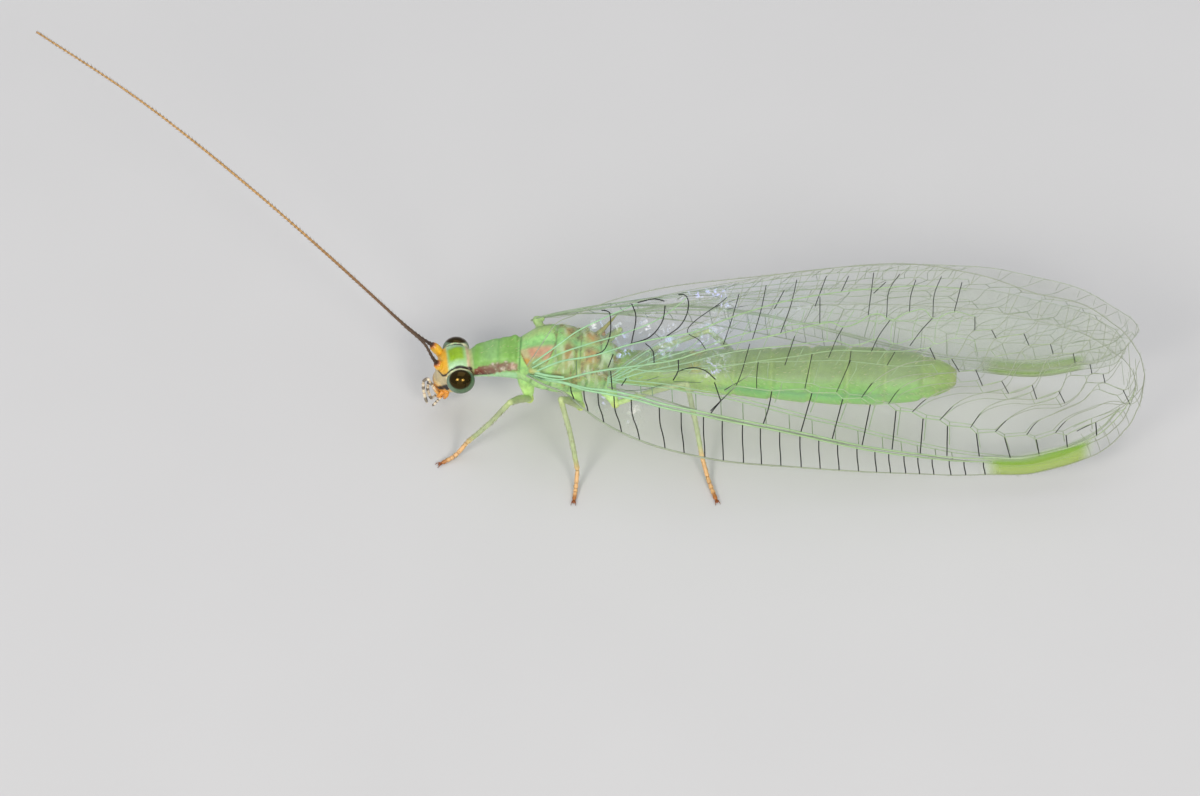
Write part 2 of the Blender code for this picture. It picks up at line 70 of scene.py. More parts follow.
ABDOMEN_FRONT = 1.91
ABDOMEN_BACK = 8.5
ABDOMEN_SEGMENTS = 8
TRUNK_TIP = 9.245

# The head, upright in its own frame: knots of height against its front, back and half width
HEAD_CENTRE = np.array((-1.634, 0.0, 1.38))
HEAD_YAW = math.radians(10)
HEAD_FRONT = [(-0.66, 0.47), (-0.45, 0.53), (-0.2, 0.49), (0.1, 0.43), (0.3, 0.32), (0.43, 0.1)]
HEAD_BACK = [(-0.66, 0.1), (-0.45, -0.06), (-0.2, -0.25), (0.1, -0.33), (0.3, -0.28), (0.43, -0.12)]
HEAD_WIDTH = [(-0.66, 0.13), (-0.45, 0.24), (-0.2, 0.38), (0.1, 0.43), (0.3, 0.36), (0.43, 0.16)]
EYE_PLACE = {"left": np.array((-0.02, 0.49, 0.06)), "right": np.array((-0.02, -0.48, 0.0))}
EYE_RADII = {"left": np.array((0.312, 0.262, 0.305)), "right": np.array((0.295, 0.25, 0.29))}

SOCKET = {"left": (-1.98, -0.19, 1.53), "right": (-2.02, 0.19, 1.56)}
SCAPE_TIP = {"left": (-2.07, -0.2, 1.67), "right": (-2.19, 0.2, 1.8)}
FEELER_PATH = {
    "left": [(-2.07, -0.2, 1.67), (-2.15, -0.18, 1.8), (-2.31, -0.02, 2.02), (-2.77, 0.29, 2.26), (-3.47, 0.71, 2.69),
             (-4.51, 1.33, 3.3), (-6.12, 2.26, 4.17), (-8.8, 3.77, 5.37), (-11.1, 4.98, 6.05)],
    "right": [(-2.19, 0.2, 1.8), (-2.36, 0.29, 1.84), (-2.79, 0.6, 1.93), (-3.5, 1.1, 2.23),
              (-4.55, 1.86, 2.66), (-6.17, 3.05, 3.23), (-8.88, 4.97, 3.94), (-11.19, 6.5, 4.24)],
}
# Palp paths in the head's frame, forward, out to the palp's own side and up
MAXILLARY_PALP = {
    "left": [(0.46, 0.2, -0.62), (0.6, 0.17, -0.32), (0.67, 0.14, -0.19), (0.74, 0.12, -0.26), (0.76, 0.12, -0.44),
             (0.735, 0.13, -0.74), (0.68, 0.15, -1.0)],
    "right": [(0.4, 0.15, -0.72), (0.55, 0.08, -0.66), (0.62, 0.03, -0.5), (0.65, 0.0, -0.6), (0.625, -0.02, -0.85),
              (0.57, -0.04, -1.02)],
}
LABIAL_PALP = {"left": [(0.37, 0.15, -0.82), (0.485, 0.17, -0.96), (0.57, 0.18, -1.07)],
               "right": [(0.36, 0.06, -0.88), (0.48, 0.05, -1.0), (0.58, 0.04, -1.09)]}

# Each leg from its hip down: hip, trochanter, knee, ankle, toe
LEGS = {
    "fore_left": [(-0.14, -0.24, 1.5), (-0.04, -0.48, 0.95), (-0.39, -1.62, 2.15), (-1.34, -1.34, 0.4),
                  (-1.88, -1.67, 0.14)],
    "mid_left": [(0.8, -0.3, 1.4), (1.08, -0.5, 0.8), (0.72, -1.7, 2.44), (1.1, -1.97, 0.4),
                 (1.06, -2.54, 0.14)],
    "hind_left": [(1.6, -0.3, 1.35), (1.84, -0.6, 1.06), (3.4, -0.66, 1.94), (3.78, -1.45, 0.4),
                  (4.14, -2.34, 0.14)],
    "fore_right": [(-0.14, 0.24, 1.5), (-0.1, 0.45, 0.92), (1.15, 1.1, 1.5), (-0.35, 1.6, 0.4),
                   (-0.88, 1.7, 0.14)],
    "mid_right": [(0.8, 0.3, 1.4), (0.98, 0.54, 0.8), (1.85, 1.1, 1.55), (1.45, 1.75, 0.4),
                  (1.4, 2.3, 0.14)],
    "hind_right": [(1.6, 0.3, 1.35), (1.84, 0.62, 0.92), (3.8, 0.72, 2.1), (4.65, 1.12, 0.4),
                   (5.25, 1.62, 0.14)],
}

# The roof of the wings: ridge height, slope and lean to the right along X, then each wing's two edges
# as depth down the slope
RIDGE_HEIGHT = [(-0.1, 2.83), (0.6, 3.13), (1.25, 3.34), (2.5, 3.69), (3.7, 4.04), (5.8, 4.64), (7.6, 4.92),
                (9.0, 5.0), (10.0, 4.97), (10.8, 4.8), (12.0, 4.44), (12.7, 3.95), (13.4, 3.43)]
ROOF_SLOPE = [(-0.1, 44), (1.0, 48), (3.4, 54), (6.0, 63), (8.5, 68.5), (13.4, 69.5)]
ROOF_LEAN = [(-0.1, 0.0), (1.0, 1.5), (3.0, 6.0), (5.0, 7.5), (13.4, 7.5)]
LEAN_AXIS = 1.7
ROOF_CAMBER = 0.3
CAMBER_CHORD = 4.8
FOREWING_EDGE = [(-0.08, 1.08), (0.26, 1.35), (0.84, 1.74), (1.2, 2.11), (1.55, 2.43), (2.44, 3.05),
                 (3.78, 3.7), (5.96, 4.42), (8.12, 4.8), (9.86, 4.82), (11.16, 4.47), (12.02, 3.92),
                 (12.47, 3.42), (12.87, 2.76), (13.15, 2.1), (13.28, 1.5), (13.31, 1.15)]
FAR_EDGE_END = [(11.16, 4.47), (11.9, 3.9), (12.43, 3.31), (12.95, 2.35), (13.26, 1.3), (13.38, 0.7),
                (13.4, 0.5)]
WING_ROOT = [(-0.08, 0.86), (0.2, 0.5), (0.5, 0.12), (0.9, 0.0), (6.0, 0.0), (8.5, 0.0)]
FOREWING_BACK = {
    "left": WING_ROOT + [(9.6, 0.15), (10.8, 0.32), (12.5, 0.33), (12.9, 0.42), (13.1, 0.58), (13.24, 0.78),
                         (13.31, 1.08)],
    "right": WING_ROOT + [(12.7, 0.0), (13.1, 0.02), (13.3, 0.12), (13.4, 0.42)],
}
HINDWING_EDGE = [(1.7, 1.75), (2.4, 2.02), (3.2, 2.42), (4.2, 2.94), (5.7, 3.6), (7.2, 4.14), (8.5, 4.44),
                 (9.6, 4.58), (10.4, 4.55), (11.1, 4.33), (11.7, 3.96), (12.2, 3.48), (12.65, 2.9),
                 (12.98, 2.2), (13.1, 1.7), (13.13, 1.5)]
HINDWING_BACK = [(1.7, 1.5), (2.4, 1.1), (3.8, 0.7), (6.0, 0.8), (8.5, 0.95), (11.5, 1.0), (12.6, 1.03),
                 (12.95, 1.12), (13.08, 1.28), (13.13, 1.44)]
HINDWING_STEM = ((1.72, 1.6), (2.4, 1.8), (3.03, 2.0), (3.46, 2.17), (4.14, 2.42), (5.04, 2.84), (6.05, 3.3),
                 (7.01, 3.66), (7.64, 3.9), (8.75, 4.24), (9.75, 4.4), (10.5, 4.35), (11.25, 4.06),
                 (11.9, 3.6), (12.4, 3.0), (12.8, 2.25))


class Side(Enum):
    """The two sides of the body, with the sign of Y there and of the head's own left."""

    LEFT = ("left", -1, 1)
    RIGHT = ("right", 1, -1)

    def __init__(self, word: str, across: int, head_left: int) -> None:
        self.word = word
        self.across = across
        self.head_left = head_left


def smooth(at: Any, knots: Knots) -> np.ndarray:
    """Reads a smooth curve through knots.

    Args:
        at: one place or an array of places.
        knots: (place, value) pairs in rising order.

    Returns:
        The values there, held level beyond the ends.
    """
    places, values = (np.array(column, float) for column in zip(*knots))
    slopes = np.gradient(values, places)
    at = np.asarray(at, float)
    i = np.clip(np.searchsorted(places, at) - 1, 0, len(places) - 2)
    span = places[i + 1] - places[i]
    t = np.clip((at - places[i]) / span, 0.0, 1.0)
    ends = (2 * t**3 - 3 * t**2 + 1) * values[i] + (3 * t**2 - 2 * t**3) * values[i + 1]
    lean = (t**3 - 2 * t**2 + t) * slopes[i] + (t**3 - t**2) * slopes[i + 1]
    return ends + span * lean


def smooth_path(points: Iterable[Sequence[float]], count: int) -> np.ndarray:
    """Spreads count points evenly on a smooth curve through a few given ones."""
    points = np.array(list(points), float)
    along = np.concatenate([[0.0], np.cumsum(np.linalg.norm(np.diff(points, axis=0), axis=1))])
    at = np.linspace(0.0, along[-1], count)
    return np.stack([smooth(at, list(zip(along, column))) for column in points.T], axis=1)


def straight_path(points: Iterable[Sequence[float]], spacing: float) -> np.ndarray:
    """Spreads points about a spacing apart on the straight lines between the given ones."""
    points = np.array(list(points), float)
    along = np.concatenate([[0.0], np.cumsum(np.linalg.norm(np.diff(points, axis=0), axis=1))])
    at = np.union1d(np.linspace(0.0, along[-1], max(2, int(along[-1] / spacing))), along)
    return np.stack([np.interp(at, along, column) for column in points.T], axis=1)


def ramp(at: Any, low: float, high: float) -> np.ndarray:
    """A soft step from 0 at low to 1 at high."""
    t = np.clip((np.asarray(at, float) - low) / (high - low), 0.0, 1.0)
    return t * t * (3 - 2 * t)


def band(at: Any, low: float, high: float, soft: float) -> np.ndarray:
    """1 between low and high, fading to 0 over a soft width at each end."""
    return ramp(at, low - soft, low + soft) * (1.0 - ramp(at, high - soft, high + soft))


def hump(at: Any, middle: float, width: float) -> np.ndarray:
    """A round hump of height 1, width being where it has fallen to about a third."""
    return np.exp(-(((np.asarray(at, float) - middle) / width) ** 2))


def linear(colour: str) -> np.ndarray:
    """Turns an sRGB hex colour to linear light."""
    parts = np.array([int(colour[i: i + 2], 16) for i in (1, 3, 5)], float) / 255.0
    return np.where(parts <= 0.04045, parts / 12.92, ((parts + 0.055) / 1.055) ** 2.4)


def turned_to(direction: np.ndarray) -> tuple[np.ndarray, np.ndarray]:
    """Two unit directions square to each of the given unit ones, for rings and whorls."""
    helper = np.where(np.abs(direction[:, 2:3]) < 0.9, (0.0, 0.0, 1.0), (1.0, 0.0, 0.0))
    first = np.cross(direction, helper)
    first /= np.linalg.norm(first, axis=1, keepdims=True)
    return first, np.cross(direction, first)


def unit(vectors: np.ndarray) -> np.ndarray:
    """The vectors at length 1."""
    return vectors / np.maximum(np.linalg.norm(vectors, axis=-1, keepdims=True), 1e-9)


class Head:
    """The head's own frame: forward, left and up from its centre, turned with the head."""

    TURN = np.array(((math.cos(HEAD_YAW), -math.sin(HEAD_YAW), 0.0),
                     (math.sin(HEAD_YAW), math.cos(HEAD_YAW), 0.0),
                     (0.0, 0.0, 1.0))) @ np.diag((-1.0, -1.0, 1.0))

    @classmethod
    def out(cls, points: Any) -> np.ndarray:
        """From the head's frame to the insect's."""
        return np.asarray(points, float) @ cls.TURN.T + HEAD_CENTRE

    @classmethod
    def into(cls, points: np.ndarray) -> np.ndarray:
        """From the insect's frame to the head's."""
        return (points - HEAD_CENTRE) @ cls.TURN


class Roof:
    """The leaning roof on which the folded wings lie."""

    @staticmethod
    def at(x: Any, depth: Any, side: Side, layer: float) -> np.ndarray:
        """A place on the roof.

        Args:
            x: place along the body.
            depth: distance down the slope from the ridge.
            side: which slope.
            layer: how far under the roof's surface.

        Returns:
            The places in the insect's frame.
        """
        x, depth = np.broadcast_arrays(np.asarray(x, float), np.asarray(depth, float))
        slope = np.radians(smooth(x, ROOF_SLOPE))
        edge = smooth(x, FOREWING_EDGE)
        share = np.clip(depth / edge, 0.0, 1.0)
        bulge = ROOF_CAMBER * np.sin(math.pi * share) * np.minimum(1.0, edge / CAMBER_CHORD)
        out = bulge - layer
        across = side.across * (depth * np.cos(slope) + out * np.sin(slope))
        up = smooth(x, RIDGE_HEIGHT) - depth * np.sin(slope) + out * np.cos(slope) - LEAN_AXIS
        turn = np.radians(smooth(x, ROOF_LEAN))
        leant = across * np.cos(turn) + up * np.sin(turn)
        return np.stack([x, leant, LEAN_AXIS + up * np.cos(turn) - across * np.sin(turn)], axis=-1)


# Meshes


def volume(points: np.ndarray, quads: np.ndarray) -> float:
    """The signed volume inside closed quads."""
    a, b, c, d = (points[quads[:, i]] for i in range(4))
    halves = np.einsum("ij,ij->i", a, np.cross(b, c)) + np.einsum("ij,ij->i", a, np.cross(c, d))
    return float(halves.sum())


def loft(name: str, rings: np.ndarray) -> bpy.types.Mesh:
    """A closed mesh through rings of points, with a shallow fan over each end.

    Args:
        name: the mesh's name.
        rings: points as (ring, place round it, coordinate).

    Returns:
        The mesh, its faces outwards.
    """
    count, around = rings.shape[:2]
    points = np.concatenate([rings.reshape(-1, 3), rings[:1].mean(axis=1), rings[-1:].mean(axis=1)])
    index = np.arange(count * around).reshape(count, around)
    beside = np.roll(index, -1, axis=1)
    quads = np.stack([index[:-1], beside[:-1], beside[1:], index[1:]], axis=-1).reshape(-1, 4)
    start, end = np.full(around, count * around), np.full(around, count * around + 1)
    fans = np.concatenate([np.stack([beside[0], index[0], start], -1),
                           np.stack([index[-1], beside[-1], end], -1)])
    if volume(points, quads) < 0:
        quads, fans = quads[:, ::-1], fans[:, ::-1]
    mesh = bpy.data.meshes.new(name)
    mesh.from_pydata(points.tolist(), [], quads.tolist() + fans.tolist())
    mesh.update()
    return mesh


def tube_rings(path: np.ndarray, radii: np.ndarray, sides: int) -> np.ndarray:
    """Rings square to a path, turned as little as can be from one to the next."""
    along = unit(np.gradient(path, axis=0))
    first = turned_to(along[:1])[0][0]
    rings = []
    turns = np.arange(sides) * 2 * math.pi / sides
    for point, direction, radius in zip(path, along, np.broadcast_to(radii, len(path))):
        first = unit(first - direction * np.dot(first, direction))
        second = np.cross(direction, first)
        rings.append(point + radius * (np.outer(np.cos(turns), first) + np.outer(np.sin(turns), second)))
    return np.array(rings)


def tube(name: str, path: np.ndarray, radii: np.ndarray, sides: int = 16) -> bpy.types.Mesh:
    """A round closed tube along a path, with its own radius at each point."""
    return loft(name, tube_rings(path, radii, sides))


def ellipsoid(name: str, centre: np.ndarray, axes: np.ndarray, rings: int, sides: int) -> bpy.types.Mesh:
    """A closed egg shape.

    Args:
        name: the mesh's name.
        centre: its middle.
        axes: three half axes as rows; the last one runs from pole to pole.
        rings: rings from pole to pole.
        sides: points round each ring.
    """
    heights = np.linspace(0.02, math.pi - 0.02, rings)[:, None, None]
    turns = (np.arange(sides) * 2 * math.pi / sides)[None, :, None]
    axes = np.asarray(axes, float)
    shell = np.sin(heights) * (np.cos(turns) * axes[0] + np.sin(turns) * axes[1]) + np.cos(heights) * axes[2]
    return loft(name, np.asarray(centre, float) + shell)


def places_of(mesh: bpy.types.Mesh) -> np.ndarray:
    """The mesh's vertices as an array."""
    places = np.zeros(len(mesh.vertices) * 3)
    mesh.vertices.foreach_get("co", places)
    return places.reshape(-1, 3)


def normals_of(mesh: bpy.types.Mesh) -> np.ndarray:
    """The mesh's vertex normals as an array."""
    normals = np.zeros(len(mesh.vertices) * 3, np.float32)
    mesh.vertex_normals.foreach_get("vector", normals)
    return normals.reshape(-1, 3).astype(float)


def move_to(mesh: bpy.types.Mesh, places: np.ndarray) -> None:
    """Puts the mesh's vertices at new places."""
    mesh.vertices.foreach_set("co", np.ascontiguousarray(places, np.float32).ravel())
    mesh.update()


def evaluated_copy(obj: bpy.types.Object, name: str) -> bpy.types.Mesh:
    """The object's mesh with its modifiers applied, as a plain mesh; the object goes."""
    bpy.context.view_layer.update()
    graph = bpy.context.evaluated_depsgraph_get()
    mesh = bpy.data.meshes.new_from_object(obj.evaluated_get(graph))
    mesh.name = name
    spent = obj.data
    bpy.data.objects.remove(obj)
    bpy.data.meshes.remove(spent)
    return mesh


def on_table(name: str, mesh: bpy.types.Mesh) -> bpy.types.Object:
    """A loose object with the mesh, for modifiers to work on."""
    obj = bpy.data.objects.new(name, mesh)
    bpy.context.scene.collection.objects.link(obj)
    return obj


def joined(name: str, meshes: Sequence[bpy.types.Mesh]) -> bpy.types.Mesh:
    """One mesh of several, which it uses up."""
    points, faces, base = [], [], 0
    for mesh in meshes:
        places = places_of(mesh)
        points.append(places)
        faces += [[base + v for v in polygon.vertices] for polygon in mesh.polygons]
        base += len(places)
        bpy.data.meshes.remove(mesh)
    made = bpy.data.meshes.new(name)
    made.from_pydata(np.concatenate(points).tolist(), [], faces)
    made.update()
    return made


def fused(name: str, meshes: Sequence[bpy.types.Mesh], voxel: float, passes: int) -> bpy.types.Mesh:
    """Melts overlapping closed meshes to one skin.

    Args:
        name: the new mesh's name.
        meshes: the closed meshes, which are used up.
        voxel: the side of the skin's faces in millimetres.
        passes: rounds of smoothing, which soften the joins.

    Returns:
        The skin.
    """
    obj = on_table(name, joined(name, meshes))
    remesh = obj.modifiers.new("melt", "REMESH")
    remesh.mode = "VOXEL"
    remesh.voxel_size = voxel
    remesh.adaptivity = 0.0
    soften = obj.modifiers.new("soften", "SMOOTH")
    soften.factor = 0.5
    soften.iterations = passes
    return evaluated_copy(obj, name)


def stroke(places: np.ndarray, line: Sequence[Sequence[float]], reach: float) -> np.ndarray:
    """1 on a painted line through a few places, fading to 0 about a reach away from it."""
    away = np.full(len(places), np.inf)
    for start, end in zip(np.array(line[:-1], float), np.array(line[1:], float)):
        along = end - start
        share = np.clip((places - start) @ along / (along @ along), 0.0, 1.0)
        away = np.minimum(away, np.linalg.norm(places - start - share[:, None] * along, axis=1))
    return 1.0 - ramp(away, 0.6 * reach, 1.3 * reach)


def speckle(places: np.ndarray, size: float) -> np.ndarray:
    """Irregular specks of about that size, from 0 to 1."""
    return np.array([noise.noise(Vector(place), noise_basis="PERLIN_NEW") for place in places / size]) * 0.9 + 0.5


class Paint:
    """The markings of one mesh, with any painted light and shade: a colour for each vertex, laid on in washes."""

    def __init__(self, count: int, ground: str) -> None:
        self.tints = np.tile(linear(ground), (count, 1))

    def wash(self, colour: str, share: np.ndarray) -> None:
        """Lays a colour over the ones below, by its share from 0 to 1 at each vertex."""
        self.tints += (linear(colour) - self.tints) * np.clip(share, 0.0, 1.0)[:, None]

    def dry(self, mesh: bpy.types.Mesh) -> None:
        """Stores the markings, with any painted light and shade, on the mesh."""
        store = mesh.color_attributes.new("markings_and_painted_light", "FLOAT_COLOR", "POINT")
        full = np.concatenate([self.tints, np.ones((len(self.tints), 1))], axis=1)
        store.data.foreach_set("color", full.astype(np.float32).ravel())


def store_number(mesh: bpy.types.Mesh, name: str, values: np.ndarray) -> None:
    """Stores one number for each vertex."""
    layer = mesh.attributes.new(name, "FLOAT", "POINT")
    layer.data.foreach_set("value", np.ascontiguousarray(values, np.float32))


def store_vector(mesh: bpy.types.Mesh, name: str, values: np.ndarray) -> None:
    """Stores one vector for each vertex."""
    layer = mesh.attributes.new(name, "FLOAT_VECTOR", "POINT")
    layer.data.foreach_set("vector", np.ascontiguousarray(values, np.float32).ravel())


# Materials and node trees


def add_node(tree: bpy.types.NodeTree, kind: str, settings: dict[str, Any] | None = None,
             inputs: dict[Any, Any] | None = None) -> bpy.types.Node:
    """Adds a node to a tree.

    Args:
        tree: the tree.
        kind: Blender's name of the node.
        settings: the node's properties.
        inputs: its inputs by name or number; an output socket is linked, any other value is set.

    Returns:
        The node.
    """
    node = tree.nodes.new(kind)
    for key, value in (settings or {}).items():
        setattr(node, key, value)
    for key, value in (inputs or {}).items():
        if isinstance(value, bpy.types.NodeSocket):
            tree.links.new(value, node.inputs[key])
        else:
            node.inputs[key].default_value = value
    return node


def per_mm(size: float) -> float:
    """A pattern's scale for features of that size in millimetres."""
    return 1.0 / (size * MM)


@dataclass(frozen=True)
class Cuticle:
    """Insect cuticle, painted by its markings and any painted light and shade: a waxy sheen over faintly mottled,
    finely grained colour.
    """

    name: str
    roughness: float = 0.42
    shine: float = 0.5
    coat: float = 0.0
    glow: float = 0.12
    mottle: float = 0.12
    mottle_depth: float = 0.17
    grain: float = 0.022
    grain_height: float = 0.003
    facets: float = 0.0
    tint: str = "#FFFFFF"

    def material(self) -> bpy.types.Material:
        """The finish as a Principled material."""
        made = bpy.data.materials.new(self.name)
        made.use_nodes = True
        tree = made.node_tree
        tree.nodes.clear()
        where = add_node(tree, "ShaderNodeTexCoord").outputs["Object"]
        markings_and_painted_light = add_node(tree, "ShaderNodeAttribute", {"attribute_name": "markings_and_painted_light"})
        noise = add_node(tree, "ShaderNodeTexNoise", inputs={
            "Vector": where, "Scale": per_mm(self.mottle), "Detail": 4.0, "Roughness": 0.6})
        level = add_node(tree, "ShaderNodeMapRange", inputs={
            0: noise.outputs["Fac"], 1: 0.3, 2: 0.7, 3: 1.0 - self.mottle_depth, 4: 1.0 + 0.5 * self.mottle_depth})
        toned = add_node(tree, "ShaderNodeMix", {"data_type": "RGBA", "blend_type": "MULTIPLY"}, {
            0: 1.0, 6: markings_and_painted_light.outputs["Color"], 7: level.outputs["Result"]})
        fine = add_node(tree, "ShaderNodeTexNoise", inputs={
            "Vector": where, "Scale": per_mm(self.grain), "Detail": 2.0})
        bump = add_node(tree, "ShaderNodeBump", inputs={
            "Strength": 1.0, "Distance": self.grain_height * MM, "Height": fine.outputs["Fac"]})
        if self.facets:
            cells = add_node(tree, "ShaderNodeTexVoronoi", inputs={
                "Vector": where, "Scale": per_mm(self.facets), "Randomness": 0.25})
            bump = add_node(tree, "ShaderNodeBump", {"invert": True}, {
                "Strength": 1.0, "Distance": self.grain_height * MM, "Height": cells.outputs["Distance"],
                "Normal": bump.outputs["Normal"]})
        rough = add_node(tree, "ShaderNodeMapRange", inputs={
            0: noise.outputs["Fac"], 1: 0.3, 2: 0.7, 3: self.roughness * 0.85, 4: self.roughness * 1.15})
        shader = add_node(tree, "ShaderNodeBsdfPrincipled", {"subsurface_method": "RANDOM_WALK"}, {
            "Base Color": toned.outputs[2], "Roughness": rough.outputs["Result"],
            "Normal": bump.outputs["Normal"], "Metallic": 0.0, "IOR": 1.5,
            "Specular IOR Level": self.shine, "Specular Tint": (*linear(self.tint), 1.0),
            "Subsurface Weight": self.glow, "Subsurface Scale": 0.12 * MM,
            "Subsurface Radius": (1.0, 1.0, 0.4), "Coat Weight": self.coat, "Coat Roughness": 0.08})
        add_node(tree, "ShaderNodeOutputMaterial", inputs={"Surface": shader.outputs["BSDF"]})
        return made


@dataclass(frozen=True)
class WingFilm:
    """Wing membrane: a clear film a few micrometres thick, with a faint thin-film rainbow, painted glints and a green
    wing spot.
    """

    name: str = "wing_membrane_clear_chitin"
    clear: float = 0.032
    milky: float = 0.09
    painted_glint_light: str = "#FFF4F2"
    painted_glint_cool: str = "#CFC8FF"
    crumple: float = 0.11

    def material(self) -> bpy.types.Material:
        """The finish as a Principled material with alpha."""
        made = bpy.data.materials.new(self.name)
        made.use_nodes = True
        tree = made.node_tree
        tree.nodes.clear()
        where = add_node(tree, "ShaderNodeTexCoord").outputs["Object"]
        spot = add_node(tree, "ShaderNodeAttribute", {"attribute_name": "spot"})
        painted_glint = add_node(tree, "ShaderNodeAttribute", {"attribute_name": "painted_glint"})
        markings_and_painted_light = add_node(tree, "ShaderNodeAttribute", {"attribute_name": "markings_and_painted_light"})
        folds = add_node(tree, "ShaderNodeTexNoise", inputs={
            "Vector": where, "Scale": per_mm(self.crumple), "Detail": 5.0, "Roughness": 0.65, "Distortion": 0.6})
        hue = add_node(tree, "ShaderNodeTexNoise", inputs={
            "Vector": where, "Scale": per_mm(0.35), "Detail": 1.0})
        # Painted glints: where the fold pattern peaks inside the stored glint areas, the film is painted white to pale
        # violet and made more opaque, standing for light caught in its folds.
        painted_spark = add_node(tree, "ShaderNodeMapRange", inputs={
            0: folds.outputs["Fac"], 1: 0.53, 2: 0.62, 3: 0.0, 4: 1.0})
        painted_sparkle = add_node(tree, "ShaderNodeMath", {"operation": "MULTIPLY"}, {
            0: painted_spark.outputs["Result"], 1: painted_glint.outputs["Fac"]})
        cool = add_node(tree, "ShaderNodeMapRange", inputs={
            0: hue.outputs["Fac"], 1: 0.42, 2: 0.58, 3: 0.0, 4: 1.0})
        light = add_node(tree, "ShaderNodeMix", {"data_type": "RGBA"}, {
            0: cool.outputs["Result"], 6: (*linear(self.painted_glint_light), 1.0), 7: (*linear(self.painted_glint_cool), 1.0)})
        base = add_node(tree, "ShaderNodeMix", {"data_type": "RGBA"}, {
            0: painted_sparkle.outputs["Value"], 6: markings_and_painted_light.outputs["Color"], 7: light.outputs[2]})
        milk = add_node(tree, "ShaderNodeAttribute", {"attribute_name": "milk"})
        clouds = add_node(tree, "ShaderNodeTexNoise", inputs={
            "Vector": where, "Scale": per_mm(0.9), "Detail": 3.0})
        cloudy = add_node(tree, "ShaderNodeMapRange", inputs={
            0: clouds.outputs["Fac"], 1: 0.3, 2: 0.7, 3: 0.75, 4: 1.25})
        thin = add_node(tree, "ShaderNodeMapRange", inputs={
            0: milk.outputs["Fac"], 1: 0.0, 2: 1.0, 3: self.clear, 4: self.milky})
        film = add_node(tree, "ShaderNodeMath", {"operation": "MULTIPLY"}, {
            0: thin.outputs["Result"], 1: cloudy.outputs["Result"]})
        veil = add_node(tree, "ShaderNodeMath", {"operation": "MULTIPLY_ADD"}, {
            0: spot.outputs["Fac"], 1: 0.5, 2: film.outputs["Value"]})
        alpha = add_node(tree, "ShaderNodeMath", {"operation": "MULTIPLY_ADD", "use_clamp": True}, {
            0: painted_sparkle.outputs["Value"], 1: 0.7, 2: veil.outputs["Value"]})
        bump = add_node(tree, "ShaderNodeBump", inputs={
            "Strength": 0.6, "Distance": 0.01 * MM, "Height": folds.outputs["Fac"]})
        shader = add_node(tree, "ShaderNodeBsdfPrincipled", inputs={
            "Base Color": base.outputs[2], "Alpha": alpha.outputs["Value"], "Roughness": 0.22,
            "Normal": bump.outputs["Normal"], "Metallic": 0.0, "IOR": 1.56, "Specular IOR Level": 1.0,
            "Thin Film Thickness": 120.0, "Thin Film IOR": 1.4})
        add_node(tree, "ShaderNodeOutputMaterial", inputs={"Surface": shader.outputs["BSDF"]})
        return made


@dataclass(frozen=True)
class StudioFloor:
    """Matt off-white paint on board: pale, even, with a breath of tone."""

    name: str = "floor_matt_paint"
    colour: str = "#CBCBCD"

    def material(self) -> bpy.types.Material:
        """The finish as a Principled material."""
        made = bpy.data.materials.new(self.name)
        made.use_nodes = True
        tree = made.node_tree
        tree.nodes.clear()
        where = add_node(tree, "ShaderNodeTexCoord").outputs["Object"]
        tone = add_node(tree, "ShaderNodeTexNoise", inputs={"Vector": where, "Scale": per_mm(6.0)})
        level = add_node(tree, "ShaderNodeMapRange", inputs={0: tone.outputs["Fac"], 3: 0.97, 4: 1.02})
        base = add_node(tree, "ShaderNodeMix", {"data_type": "RGBA", "blend_type": "MULTIPLY"}, {
            0: 1.0, 6: (*linear(self.colour), 1.0), 7: level.outputs["Result"]})
        shader = add_node(tree, "ShaderNodeBsdfPrincipled", inputs={
            "Base Color": base.outputs[2], "Roughness": 0.9, "Specular IOR Level": 0.1})
        add_node(tree, "ShaderNodeOutputMaterial", inputs={"Surface": shader.outputs["BSDF"]})
        return made


BODY_CUTICLE = Cuticle("soft_cuticle_satin")
EYE_LENS = Cuticle("compound_eye_glossy", roughness=0.12, shine=0.7, coat=0.0, glow=0.0, mottle=0.1,
                   mottle_depth=0.12, grain=0.02, grain_height=0.0003, facets=0.026, tint="#FFCE6A")
FEELER_CUTICLE = Cuticle("feeler_cuticle_matt", roughness=0.5, shine=0.45, glow=0.05, mottle_depth=0.2)
LEG_CUTICLE = Cuticle("leg_cuticle_satin", roughness=0.4, glow=0.15, mottle=0.2, mottle_depth=0.2)
MOUTH_CUTICLE = Cuticle("mouth_cuticle_amber", roughness=0.28, shine=0.6, glow=0.1)
CLAW_HORN = Cuticle("claw_horn_amber", roughness=0.2, shine=0.7, glow=0.0)
VEIN_CUTICLE = Cuticle("wing_vein_cuticle", roughness=0.42, shine=0.3, glow=0.0, mottle=0.3, mottle_depth=0.18,
                       grain_height=0.001)
HAIR = Cuticle("bristle_chitin", roughness=0.4, shine=0.5, glow=0.0, mottle=0.5, mottle_depth=0.15,
               grain_height=0.0002)
WING_FILM = WingFilm()


